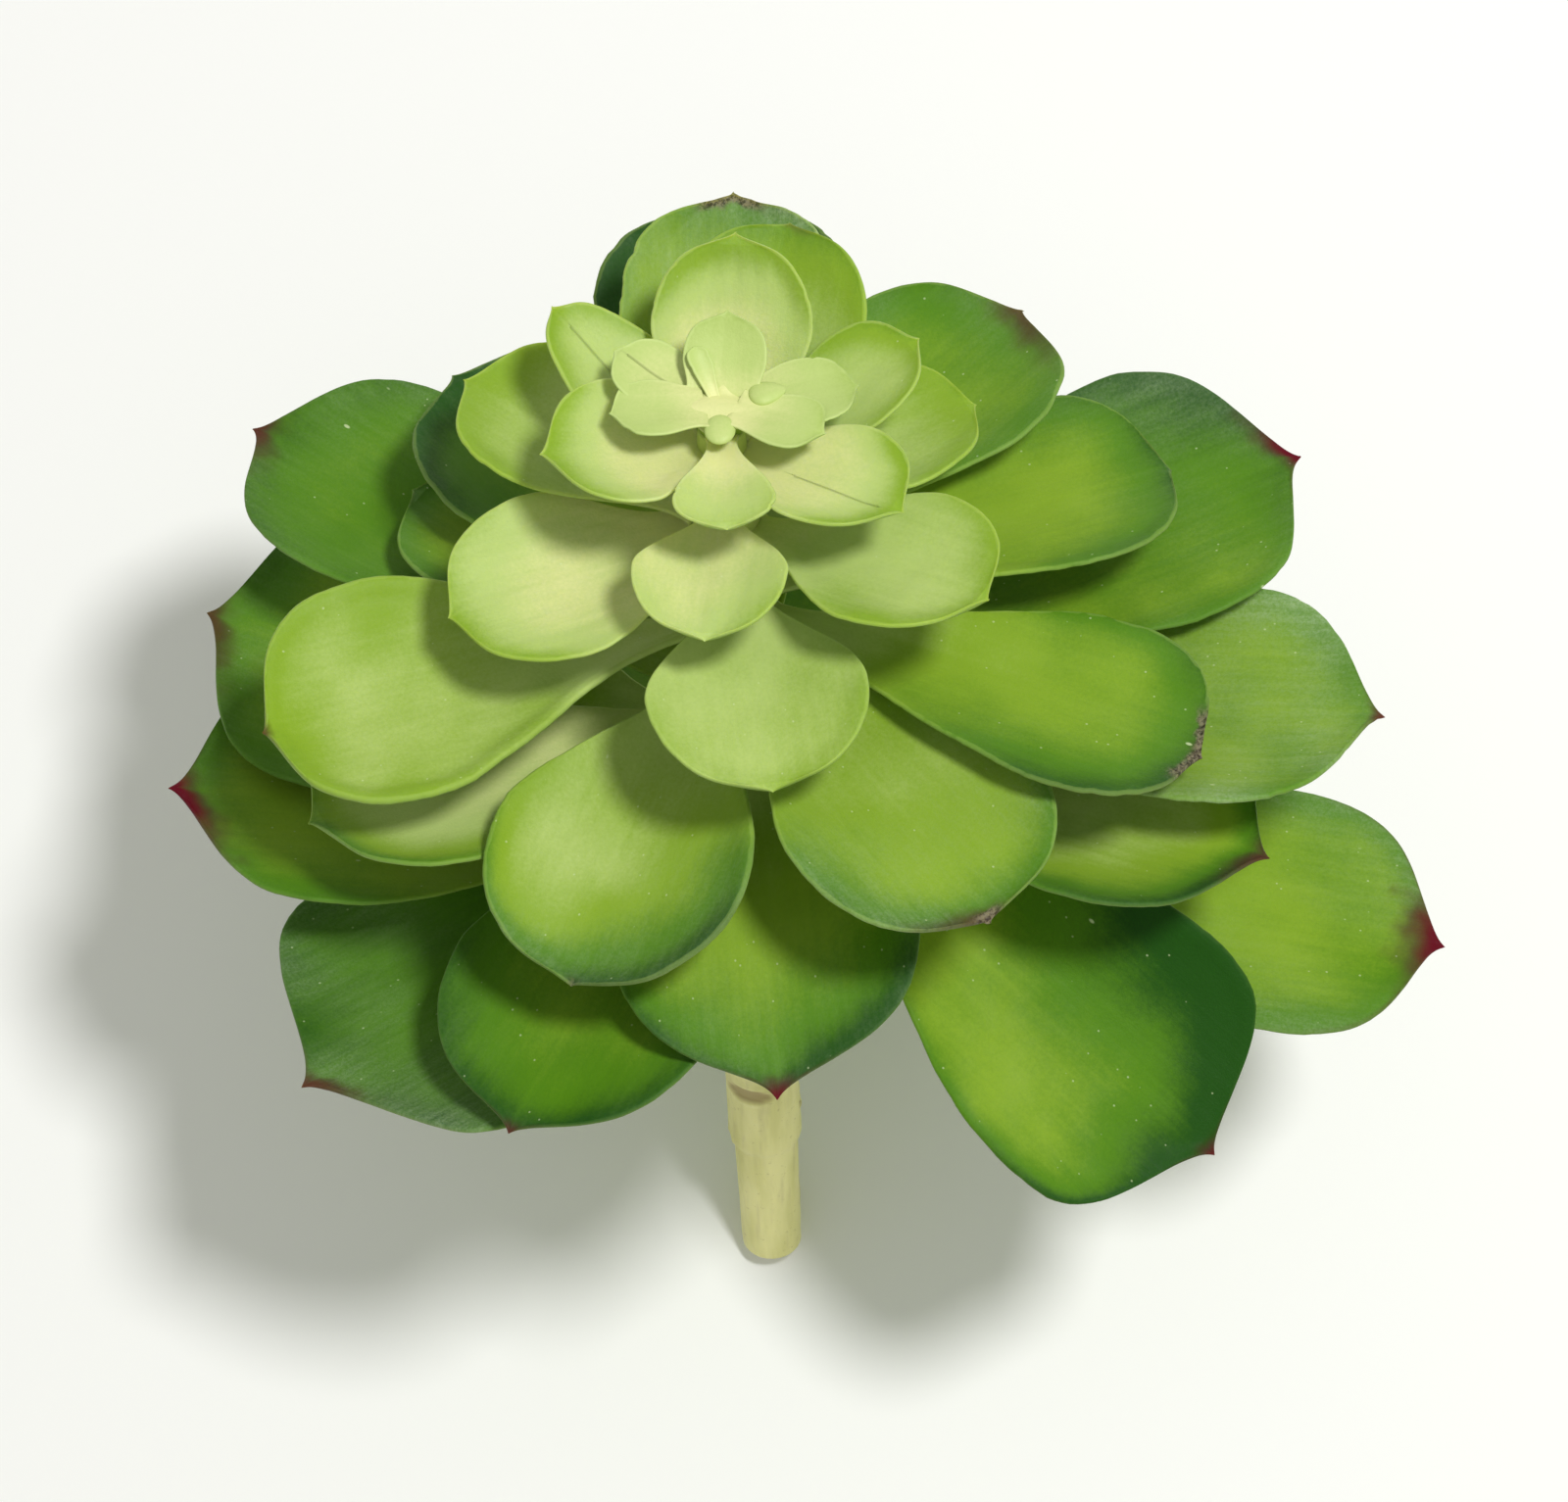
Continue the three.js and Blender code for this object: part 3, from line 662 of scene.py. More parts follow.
def leaf_skin(leaf, flat, rng):
    """Masks of the skin at every point, smooth in the place on the flat blade, most of them 0 to 1.

    green falls from the rim's value at the margin to the core's inside, over the band's width, which the
    lean widens on one side, and fades toward cream at the foot. The lean's deeper green is partly the
    leaf's own colour and partly painted shade on the side that turns from the lamp. bloom lies in soft
    patches, and more at the rim.
    """
    # The lean's deeper green on one side: partly the leaf's own colour, partly painted shade.
    side = leaf.lean * flat.across
    uneven = 1 + 0.25 * ripple(flat.x, flat.y, rng, "green band")
    band = leaf.band * np.clip(1 + 0.9 * side, 0.25, 2) * uneven
    tipward = smooth(flat.share / 0.75)
    at_rim = np.exp(-((flat.margin / band) ** 1.15)) * (0.1 + 0.9 * smooth((flat.share - 0.3) / 0.55))
    green = leaf.core + (leaf.rim - leaf.core) * at_rim + (0.14 * side + leaf.deepen * flat.share) * tipward
    green = green + 0.04 * ripple(flat.x, flat.y, rng, "green")
    green = green - leaf.core * 0.5 * (1 - smooth(flat.share / 0.45))
    tip_distance = np.hypot(flat.end - flat.x, flat.y)
    blush = blush_mask(leaf, flat, tip_distance, rng)
    scar = scar_mask(leaf, flat, tip_distance, rng)
    patchy = 0.5 + 0.5 * ripple(flat.x, flat.y, rng, "bloom")
    bloom = leaf.bloom * np.clip(0.25 + 0.75 * patchy + 0.3 * side, 0, 1) * (0.35 + 0.65 * at_rim) * tipward
    crease = crease_distance(leaf, flat)
    return {"green": green, "blush": blush, "scar": scar, "bloom": bloom, "crease": crease}


def plain_skin(place, green):
    """Values for skin with nothing on it: how green it is, and its place for the patterns (mm)."""
    zero = np.zeros(len(place), np.float32)
    values = {name: zero for name in ("blush", "scar", "bloom", "under")}
    values["green"] = (zero + green).astype(np.float32)
    values["margin"] = zero + FAR_MARGIN
    values["crease"] = zero + NO_CREASE
    values["blade"] = place.astype(np.float32)
    return values


def in_place(points, azimuth, rise):
    """Plant-frame points (mm) of a leaf that is turned to its azimuth and raised up the stem."""
    turn = math.radians(azimuth)
    x = points[:, 0] * math.cos(turn) - points[:, 1] * math.sin(turn)
    y = points[:, 0] * math.sin(turn) + points[:, 1] * math.cos(turn)
    return np.stack([x, y, points[:, 2] + rise], 1)


def laid(points):
    """Plant-frame points (mm) as they lie, in metres: leant back about X, moved, and flat at the floor."""
    x, y, z = points.T
    lain = np.stack([
        x,
        y * math.cos(LEAN_BACK) + z * math.sin(LEAN_BACK),
        -y * math.sin(LEAN_BACK) + z * math.cos(LEAN_BACK),
    ], 1) + np.array(LAID_OFFSET)
    lain[:, 2] = np.maximum(lain[:, 2], 0)
    return lain * MM


def joined(parts):
    """Several (points, (quads, triangles), values) as one, with the faces' numbers moved on."""
    points, quads, triangles, start = [], [], [], 0
    for part_points, (part_quads, part_triangles), _ in parts:
        points.append(part_points)
        quads.append(part_quads + start)
        triangles.append(part_triangles + start)
        start += len(part_points)
    values = {name: np.concatenate([part[2][name] for part in parts]) for name in parts[0][2]}
    return np.concatenate(points), (np.concatenate(quads), np.concatenate(triangles)), values


def add_piece(name, surface, material, nodes):
    """Makes a mesh object of (points, (quads, triangles), values) that stands for one of the solids."""
    points, (quads, triangles), values = surface
    mesh = bpy.data.meshes.new(name)
    corners = np.concatenate([quads.ravel(), triangles.ravel()]).astype(np.int32)
    starts = np.concatenate([np.arange(len(quads)) * 4, quads.size + np.arange(len(triangles)) * 3])
    mesh.vertices.add(len(points))
    mesh.vertices.foreach_set("co", points.astype(np.float32).ravel())
    mesh.loops.add(len(corners))
    mesh.loops.foreach_set("vertex_index", corners)
    mesh.polygons.add(len(starts))
    mesh.polygons.foreach_set("loop_start", starts.astype(np.int32))
    for key, value in values.items():
        kind, field = ("FLOAT_VECTOR", "vector") if value.ndim == 2 else ("FLOAT", "value")
        attribute = mesh.attributes.new(key, kind, "POINT")
        attribute.data.foreach_set(field, value.astype(np.float32).ravel())
    mesh.update(calc_edges=True)
    mesh.shade_smooth()
    if mesh.validate():
        raise RuntimeError(f"{name} has faces that had to be mended")
    mesh.materials.append(material)
    piece = bpy.data.objects.new(name, mesh)
    bpy.context.scene.collection.objects.link(piece)
    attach(piece, "root")
    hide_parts(*nodes)


# Materials: node groups for what the skins share, then one material for each slot.

# Colours of small marks and patches.
DUST = paint(214, 228, 180)
SPOT = paint(44, 50, 22)
# The next colour is painted shade in the hairline fold.
CREASE_SHADE = paint(98, 112, 40)
BLUSH_FRINGE = paint(80, 44, 42)
DARK_CORK = paint(58, 48, 42)
STEM_PATCH = paint(178, 178, 84)
STEM_GREY = paint(186, 176, 128)
STEM_TOP = paint(190, 206, 110)
STEM_SCAR = paint(168, 150, 96)
STEM_DOT = paint(150, 140, 80)
CUT_FACE = paint(206, 206, 140)
CUT_RING = paint(150, 160, 70)
FLOOR_SHADE = paint(240, 240, 238)


class Nodes:
    """Adds nodes to a tree. A socket is set by its name: another socket is linked to it, a value is put
    in it."""

    def __init__(self, tree):
        self.tree = tree

    def add(self, kind, sockets=None, **settings):
        node = self.tree.nodes.new(kind)
        for name, value in settings.items():
            setattr(node, name, value)
        for name, value in (sockets or {}).items():
            self.put(node.inputs[name], value)
        return node

    def put(self, socket, value):
        if isinstance(value, bpy.types.NodeSocket):
            self.tree.links.new(value, socket)
        elif socket.type == "RGBA" and len(value) == 3:
            socket.default_value = (*value, 1)
        else:
            socket.default_value = value

    def math(self, operation, first, second=0.5, clamp=False):
        node = self.add("ShaderNodeMath", {0: first, 1: second}, operation=operation, use_clamp=clamp)
        return node.outputs[0]

    def between(self, value, low, high, to_low=0.0, to_high=1.0):
        sockets = {"Value": value, "From Min": low, "From Max": high, "To Min": to_low, "To Max": to_high}
        node = self.add("ShaderNodeMapRange", sockets, interpolation_type="SMOOTHSTEP")
        return node.outputs["Result"]

    def blend(self, share, first, second):
        node = self.add("ShaderNodeMix", data_type="RGBA", blend_type="MIX")
        self.put(node.inputs["Factor"], share)
        self.put(node.inputs[6], first)
        self.put(node.inputs[7], second)
        return node.outputs[2]

    def attribute(self, name, output="Fac"):
        return self.add("ShaderNodeAttribute", attribute_name=name).outputs[output]

    def stretched(self, scale=(1, 1, 1)):
        """Place on the flat blade (mm along, mm across, the leaf's own offset), each times a scale."""
        place = self.attribute("blade", "Vector")
        node = self.add("ShaderNodeVectorMath", {0: place, 1: scale}, operation="MULTIPLY")
        return node.outputs["Vector"]

    def noise(self, vector, scale, detail=2.0, roughness=0.5):
        sockets = {"Vector": vector, "Scale": scale, "Detail": detail, "Roughness": roughness}
        return self.add("ShaderNodeTexNoise", sockets).outputs["Fac"]


def new_group(name, inputs, outputs):
    """An empty shader group with its sockets, names to (kind, default): its tree, nodes and both ends."""
    tree = bpy.data.node_groups.new(name, "ShaderNodeTree")
    for socket, (kind, default) in inputs.items():
        made = tree.interface.new_socket(socket, in_out="INPUT", socket_type=kind)
        made.default_value = (*default, 1) if kind == COLOUR else default
    for socket, kind in outputs.items():
        tree.interface.new_socket(socket, in_out="OUTPUT", socket_type=kind)
    nodes = Nodes(tree)
    return tree, nodes, nodes.add("NodeGroupInput").outputs, nodes.add("NodeGroupOutput").inputs


FLOAT, COLOUR = "NodeSocketFloat", "NodeSocketColor"


def green_group():
    """Skin colour: the green mask, mottled and streaked, blended through five greens from the cream."""
    colours = bpy.context.scene.echeveria_colours
    inputs = {
        "Cream": (COLOUR, colours.cream), "Lime": (COLOUR, colours.lime), "Leaf": (COLOUR, colours.leaf),
        "Grass": (COLOUR, colours.grass), "Deep": (COLOUR, colours.deep),
        "Underside": (COLOUR, colours.under),
        "Mottle": (FLOAT, 0.1), "Streaks": (FLOAT, 0.1), "Grain": (FLOAT, 0.11), "Under share": (FLOAT, 0.7),
    }
    tree, nodes, given, result = new_group("leaf greens", inputs, {"Color": COLOUR})
    mottle = nodes.math("SUBTRACT", nodes.noise(nodes.stretched((0.7, 1, 1)), 0.12, 6.0, 0.68))
    streak = nodes.math("SUBTRACT", nodes.noise(nodes.stretched((0.03, 0.7, 1)), 1.0, 4.0))
    grain = nodes.math("SUBTRACT", nodes.noise(nodes.stretched(), 1.6, 3.0, 0.7))
    green = nodes.math("ADD", nodes.attribute("green"), nodes.math("MULTIPLY", mottle, given["Mottle"]))
    green = nodes.math("ADD", green, nodes.math("MULTIPLY", grain, given["Grain"]))
    green = nodes.math("ADD", green, nodes.math("MULTIPLY", streak, given["Streaks"]), clamp=True)
    color = nodes.blend(nodes.between(green, 0.0, 0.25), given["Cream"], given["Lime"])
    color = nodes.blend(nodes.between(green, 0.22, 0.5), color, given["Leaf"])
    color = nodes.blend(nodes.between(green, 0.48, 0.75), color, given["Grass"])
    color = nodes.blend(nodes.between(green, 0.72, 1.0), color, given["Deep"])
    under = nodes.math("MULTIPLY", nodes.attribute("under"), given["Under share"])
    nodes.put(result["Color"], nodes.blend(under, color, given["Underside"]))
    return tree


def bloom_group():
    """Waxy dust: the bloom mask, broken by brushed streaks and by fine grain."""
    tree, nodes, given, result = new_group("waxy bloom", {"Amount": (FLOAT, 1.0)}, {"Mask": FLOAT})
    streaks = nodes.noise(nodes.stretched((0.1, 0.9, 1)), 1.0, 5.0, 0.65)
    grain = nodes.noise(nodes.stretched(), 2.0, 4.0, 0.75)
    mask = nodes.math("MULTIPLY", nodes.attribute("bloom"), nodes.between(streaks, 0.3, 0.75, 0.45, 1.0))
    mask = nodes.math("MULTIPLY", mask, nodes.between(grain, 0.3, 0.7, 0.35, 1.0))
    nodes.put(result["Mask"], nodes.math("MULTIPLY", mask, given["Amount"], clamp=True))
    return tree


def rim_and_highlight_group():
    """The pale line on the very edge, partly the leaf's paler margin and partly a painted highlight on the
    rounded rim: 1 at the margin and 0 past its width, broken here and there.
    """
    tree, nodes, given, result = new_group("pale rim and painted highlight", {"Width": (FLOAT, 0.6)}, {"Mask": FLOAT})
    broken = nodes.between(nodes.noise(nodes.stretched(), 0.35, 3.0), 0.3, 0.6, 0.35, 1.0)
    width = nodes.math("MULTIPLY", given["Width"], broken)
    share = nodes.math("DIVIDE", nodes.attribute("margin"), width)
    nodes.put(result["Mask"], nodes.between(share, 0.45, 1.0, 1.0, 0.0))
    return tree


def speck_group():
    """Small marks: in some cells of a cell pattern on the flat blade, 1 close to the cell's centre."""
    inputs = {"Spacing": (FLOAT, 6.0), "Size": (FLOAT, 0.16), "Share": (FLOAT, 0.3), "Length": (FLOAT, 1.0)}
    tree, nodes, given, result = new_group("specks", inputs, {"Mask": FLOAT})
    shorten = nodes.math("DIVIDE", 1.0, given["Length"])
    squeeze = nodes.add("ShaderNodeCombineXYZ", {"X": shorten, "Y": 1.0, "Z": 1.0}).outputs[0]
    sockets = {0: nodes.stretched(), 1: squeeze}
    place = nodes.add("ShaderNodeVectorMath", sockets, operation="MULTIPLY").outputs[0]
    scale = nodes.math("DIVIDE", 1.0, given["Spacing"])
    cells = nodes.add("ShaderNodeTexVoronoi", {"Vector": place, "Scale": scale, "Randomness": 1.0},
                      feature="F1", voronoi_dimensions="3D")
    reach = nodes.math("MULTIPLY", cells.outputs["Distance"], given["Spacing"])
    near = nodes.between(nodes.math("DIVIDE", reach, given["Size"]), 0.5, 1.0, 1.0, 0.0)
    pick = nodes.add("ShaderNodeSeparateColor", {"Color": cells.outputs["Color"]}).outputs[0]
    chosen = nodes.math("LESS_THAN", pick, given["Share"])
    nodes.put(result["Mask"], nodes.math("MULTIPLY", near, chosen))
    return tree


def skin_group():
    """Height of the skin in mm: fine grain, faint veins along the blade, and a cut hairline crease."""
    inputs = {"Grain": (FLOAT, 0.07), "Veins": (FLOAT, 0.06), "Crease": (FLOAT, 0.2)}
    tree, nodes, given, result = new_group("skin relief", inputs, {"Height": FLOAT})
    grain = nodes.noise(nodes.stretched(), 1.9, 4.0, 0.7)
    veins = nodes.noise(nodes.stretched((0.05, 0.9, 1)), 1.0)
    cut = nodes.between(nodes.math("ABSOLUTE", nodes.attribute("crease")), 0.0, 0.35, 1.0, 0.0)
    height = nodes.math("MULTIPLY", grain, given["Grain"])
    height = nodes.math("ADD", height, nodes.math("MULTIPLY", veins, given["Veins"]))
    height = nodes.math("SUBTRACT", height, nodes.math("MULTIPLY", cut, given["Crease"]))
    nodes.put(result["Height"], height)
    return tree


GROUPS = {
    "leaf greens": green_group, "waxy bloom": bloom_group, "pale rim and painted highlight": rim_and_highlight_group, "specks": speck_group,
    "skin relief": skin_group,
}


def group_node(nodes, name, sockets=None):
    """A node of a shared group, which is built the first time it is asked for."""
    tree = bpy.data.node_groups.get(name) or GROUPS[name]()
    return nodes.add("ShaderNodeGroup", sockets, node_tree=tree).outputs[0]


def strewn(nodes, color, mark, strength, spacing, size, share, length):
    """A colour with small marks of another strewn over it."""
    sockets = {"Spacing": spacing, "Size": size, "Share": share, "Length": length}
    specks = group_node(nodes, "specks", sockets)
    return nodes.blend(nodes.math("MULTIPLY", specks, strength), color, mark)


def new_material(name):
    """A material with nothing in it but its output: gives it, its nodes and the surface socket."""
    material = bpy.data.materials.new(name)
    material.use_nodes = True
    material.node_tree.nodes.clear()
    nodes = Nodes(material.node_tree)
    return material, nodes, nodes.add("ShaderNodeOutputMaterial").inputs["Surface"]


def leaf_material(slot, mottle, streaks, rim_highlight_share, rim_highlight_colour, dust, gloss, shine, soft, depth):
    """Leaf skin of one slot: greens, bloom, pale rim with a painted highlight, dust, dots, a hairline fold
    darkened as painted shade, flushed tip, corky scar and gloss.
    """
    name = f"{slot}_skin"
    if name in bpy.data.materials:
        return bpy.data.materials[name]
    colours = bpy.context.scene.echeveria_colours
    material, nodes, surface = new_material(name)
    color = group_node(nodes, "leaf greens", {"Mottle": mottle, "Streaks": streaks})
    bloom = group_node(nodes, "waxy bloom")
    color = nodes.blend(bloom, color, tuple(colours.bloom))
    # Pale line on the edge: partly the leaf's paler margin, partly a painted highlight on its rounded rim.
    rim = nodes.math("MULTIPLY", group_node(nodes, "pale rim and painted highlight", {"Width": 0.45}), rim_highlight_share)
    color = nodes.blend(rim, color, rim_highlight_colour)
    color = strewn(nodes, color, DUST, strength=0.4, spacing=2.3, size=0.2, share=dust, length=1.2)
    color = strewn(nodes, color, DUST, strength=0.65, spacing=8.0, size=0.34, share=dust, length=2.0)
    color = strewn(nodes, color, SPOT, strength=0.85, spacing=9.0, size=0.2, share=0.3, length=1.0)
    # The hairline fold is darkened: painted shade in the fold.
    crease_shade = nodes.between(nodes.math("ABSOLUTE", nodes.attribute("crease")), 0.0, 0.24, 0.42, 0.0)
    color = nodes.blend(crease_shade, color, CREASE_SHADE)
    blush = nodes.attribute("blush")
    color = nodes.blend(nodes.between(blush, 0.04, 0.6, 0.0, 0.72), color, BLUSH_FRINGE)
    color = nodes.blend(nodes.between(blush, 0.45, 0.95), color, tuple(colours.blush))
    scar = nodes.attribute("scar")
    crust = nodes.noise(nodes.stretched(), 1.5, 4.0, 0.7)
    cork = nodes.blend(nodes.between(crust, 0.4, 0.62), tuple(colours.cork), DARK_CORK)
    color = nodes.blend(nodes.math("MULTIPLY", scar, 0.9), color, cork)
    uneven = nodes.noise(nodes.stretched(), 0.3, 3.0)
    roughness = nodes.between(uneven, 0.3, 0.7, gloss - 0.05, gloss + 0.07)
    roughness = nodes.math("ADD", roughness, nodes.math("MULTIPLY", bloom, 0.2))
    roughness = nodes.math("ADD", roughness, nodes.math("MULTIPLY", scar, 0.3))
    height = group_node(nodes, "skin relief")
    bump = nodes.add("ShaderNodeBump", {"Height": height, "Distance": MM, "Strength": 1.0})
    shader = nodes.add("ShaderNodeBsdfPrincipled", {
        "Base Color": color, "Roughness": roughness, "Normal": bump.outputs["Normal"], "IOR": 1.45,
        "Specular IOR Level": shine,
        "Subsurface Weight": soft, "Subsurface Radius": (1.0, 0.9, 0.08), "Subsurface Scale": depth * MM,
    })
    nodes.put(surface, shader.outputs["BSDF"])
    return material


# Skins of the slots: how mottled and streaked, how strong and of which colour the pale rim is (partly the
# leaf's paler margin and partly a painted highlight on the rounded edge), how dusty, how rough, how shiny,
# and how far light goes into them (mm). The heart's small leaves lie too close for that.
LEAF_SKINS = {
    "outer_green": dict(mottle=0.16, streaks=0.08, rim_highlight_share=0.04, rim_highlight_colour=paint(120, 160, 80),
                        dust=0.7, gloss=0.48, shine=0.1, soft=0.1, depth=1.2),
    "middle_green": dict(mottle=0.14, streaks=0.06, rim_highlight_share=0.15, rim_highlight_colour=paint(190, 214, 120),
                         dust=0.6, gloss=0.47, shine=0.14, soft=0.15, depth=1.4),
    "upper_green": dict(mottle=0.12, streaks=0.08, rim_highlight_share=0.13, rim_highlight_colour=paint(205, 224, 130),
                        dust=0.25, gloss=0.47, shine=0.2, soft=0.35, depth=3),
    "heart_green": dict(mottle=0.1, streaks=0.05, rim_highlight_share=0.17, rim_highlight_colour=paint(222, 236, 166),
                        dust=0.2, gloss=0.44, shine=0.3, soft=0.4, depth=3),
}
BUD_SKIN = {**LEAF_SKINS["heart_green"], "soft": 0}


def stem_material():
    """Stem skin: pale yellow-green with darker patches, brown in the scars, and a ringed cut face."""
    colours = bpy.context.scene.echeveria_colours
    material, nodes, surface = new_material("scarred_stem_skin")
    place = nodes.add("ShaderNodeTexCoord").outputs["Object"]
    patches = nodes.between(nodes.noise(nodes.stretched((0.05, 0.22, 1)), 1.0, 3.0), 0.35, 0.7)
    color = nodes.blend(nodes.math("MULTIPLY", patches, 0.35), tuple(colours.stem), STEM_PATCH)
    grey = nodes.between(nodes.noise(nodes.stretched((0.08, 0.5, 1)), 1.0, 4.0), 0.5, 0.75)
    color = nodes.blend(nodes.math("MULTIPLY", grey, 0.35), color, STEM_GREY)
    height_up = nodes.add("ShaderNodeSeparateXYZ", {0: nodes.stretched()}).outputs[0]
    color = nodes.blend(nodes.between(height_up, 120.0, 185.0), color, STEM_TOP)
    color = nodes.blend(nodes.attribute("scar"), color, STEM_SCAR)
    color = nodes.blend(nodes.attribute("cut"), color, CUT_FACE)
    color = nodes.blend(nodes.math("MULTIPLY", nodes.attribute("ring"), 0.6), color, CUT_RING)
    dots = nodes.between(nodes.noise(place, 900.0, 3.0, 0.6), 0.62, 0.74, 0.0, 0.3)
    color = nodes.blend(dots, color, STEM_DOT)
    grain = nodes.math("MULTIPLY", nodes.noise(place, 700.0, 4.0), 0.12)
    grooves = nodes.math("MULTIPLY", nodes.noise(nodes.stretched((0.08, 1.2, 1)), 1.0), 0.12)
    height = nodes.math("ADD", grain, grooves)
    bump = nodes.add("ShaderNodeBump", {"Height": height, "Distance": MM, "Strength": 1.0})
    shader = nodes.add("ShaderNodeBsdfPrincipled", {
        "Base Color": color, "Roughness": nodes.between(patches, 0.0, 1.0, 0.5, 0.62),
        "Normal": bump.outputs["Normal"], "IOR": 1.45,
        "Subsurface Weight": 0.15, "Subsurface Radius": (1.0, 0.9, 0.4), "Subsurface Scale": 1.5 * MM,
    })
    nodes.put(surface, shader.outputs["BSDF"])
    return material


def floor_material():
    """Matt, pale studio floor with a trace of mottling."""
    settings = bpy.context.scene.echeveria_stage
    material, nodes, surface = new_material("studio_floor")
    place = nodes.add("ShaderNodeTexCoord").outputs["Object"]
    tone = nodes.math("MULTIPLY", nodes.noise(place, 6.0, 3.0), 0.05)
    color = nodes.blend(tone, tuple(settings.floor), FLOOR_SHADE)
    sockets = {"Base Color": color, "Roughness": 0.9, "Specular IOR Level": 0.2}
    nodes.put(surface, nodes.add("ShaderNodeBsdfPrincipled", sockets).outputs["BSDF"])
    return material


# Operators: one for each group of like pieces, and one for the stage.


class LeafWhorl:
    """Shared by the whorls' operators: builds every leaf of one whorl."""

    bl_options = {"REGISTER", "UNDO"}
    whorl = ""

    def execute(self, context):
        slot = SLOTS[self.whorl]
        material = leaf_material(slot, **LEAF_SKINS[slot])
        order = list(LEAVES).index(self.whorl)
        for number, row in enumerate(LEAVES[self.whorl], 1):
            leaf = grown(self.whorl, number, row)
            rng = np.random.default_rng([SEED, order, number])
            points, faces, values = blade(leaf, context.scene.echeveria_leaves, rng)
            surface = laid(in_place(points, leaf.azimuth, leaf.rise)), faces, values
            nodes = [f"{self.whorl}_leaf_{number}"]
            add_piece(f"{self.whorl}_blade_{number}", surface, material, nodes)
        return {"FINISHED"}


class ECHEVERIA_OT_skirt(LeafWhorl, bpy.types.Operator):
    """Build the drooping skirt leaves"""

    bl_idname = "echeveria.skirt"
    bl_label = "Skirt leaves"
    whorl = "skirt"


class ECHEVERIA_OT_outer(LeafWhorl, bpy.types.Operator):
    """Build the outer leaves"""

    bl_idname = "echeveria.outer"
    bl_label = "Outer leaves"
    whorl = "outer"


class ECHEVERIA_OT_middle(LeafWhorl, bpy.types.Operator):
    """Build the middle leaves"""

    bl_idname = "echeveria.middle"
    bl_label = "Middle leaves"
    whorl = "middle"


class ECHEVERIA_OT_upper(LeafWhorl, bpy.types.Operator):
    """Build the upper leaves"""

    bl_idname = "echeveria.upper"
    bl_label = "Upper leaves"
    whorl = "upper"


class ECHEVERIA_OT_inner(LeafWhorl, bpy.types.Operator):
    """Build the small leaves round the heart"""

    bl_idname = "echeveria.inner"
    bl_label = "Inner leaves"
    whorl = "inner"


def hub_surface():
    """The heart's hub: a stalk that spreads into a lobed crown, which the bud leaves grow out of.

    The crown's height is the soft greatest of one ridge for each bud leaf, which keeps the leaf's own
    slope along its azimuth and falls with the square of the distance from it. The crown's middle is
    lifted a little above the leaves' feet, and its edge dips a little below them.
    """
    turn = np.linspace(0, 2 * math.pi, 64, endpoint=False)
    out = np.linspace(0, 1, 8)
    back = np.linspace(1, 0.04, 20)[1:]
    stalk = HUB_RADIUS + (CROWN_RADIUS - HUB_RADIUS) * smooth(out)
    radius = np.concatenate([stalk, CROWN_RADIUS * back])[:, None]
    x, y = radius * np.cos(turn), -radius * np.sin(turn)
    rows = np.array([(row["azimuth"], row["rise"], row["pitch"]) for row in BUDS])
    azimuth, rise, pitch = rows.T[..., None, None]
    azimuth = np.radians(azimuth)
    ahead = x * np.cos(azimuth) + y * np.sin(azimuth)
    beside = y * np.cos(azimuth) - x * np.sin(azimuth)
    ridges = rise + np.tan(np.radians(pitch)) * (ahead - BUD_FOOT) - RIDGE_FALL * beside ** 2
    top = np.logaddexp.reduce(CROWN_BLEND * ridges, axis=0) / CROWN_BLEND
    top = top + CROWN_LIFT * (1 - 2 * (radius / CROWN_RADIUS) ** 2)
    reached = np.concatenate([out ** 0.5, np.ones(len(back))])[:, None]
    ring = np.stack([x, y, top * reached], -1)
    points = np.concatenate([ring.reshape(-1, 3), [[0, 0, 0], ring[-1].mean(0)]])
    # The stalk below the crown is a deeper green: painted shade under the crown.
    green = 0.06 + 0.4 * smooth((3 - points[:, 2]) / 2)
    values = plain_skin(points * (1, 1, 0), green)
    points[:, 2] += HEART_FOOT
    return points, tube_faces(len(radius), len(turn)), values


def plump_bud(bud):
    """A bud that hasn't opened: an egg, whose radius round its axis goes as the sine of the turn from
    its tip, narrowed toward the tip by the taper."""
    turn = np.linspace(math.pi, 0, 34)[1:-1, None]
    about = -np.linspace(0, 2 * math.pi, 48, endpoint=False)[None, :]
    radius = np.sin(turn) * (1 - bud.taper * np.cos(turn)) / 2
    ahead = bud.length / 2 * np.cos(turn) + 0 * about
    beside = bud.width * radius * np.cos(about)
    up = bud.thickness * radius * np.sin(about)
    ring = np.stack([ahead, beside, up], -1).reshape(-1, 3)
    points = np.concatenate([ring, [[-bud.length / 2, 0, 0], [bud.length / 2, 0, 0]]])
    slope = math.radians(bud.pitch)
    out = points[:, 0] * math.cos(slope) - points[:, 2] * math.sin(slope) + bud.reach
    height = points[:, 0] * math.sin(slope) + points[:, 2] * math.cos(slope)
    placed = in_place(np.stack([out, points[:, 1], height], 1), bud.azimuth, HEART_FOOT + bud.rise)
    return placed, tube_faces(len(turn), about.size), plain_skin(points, 0.2)


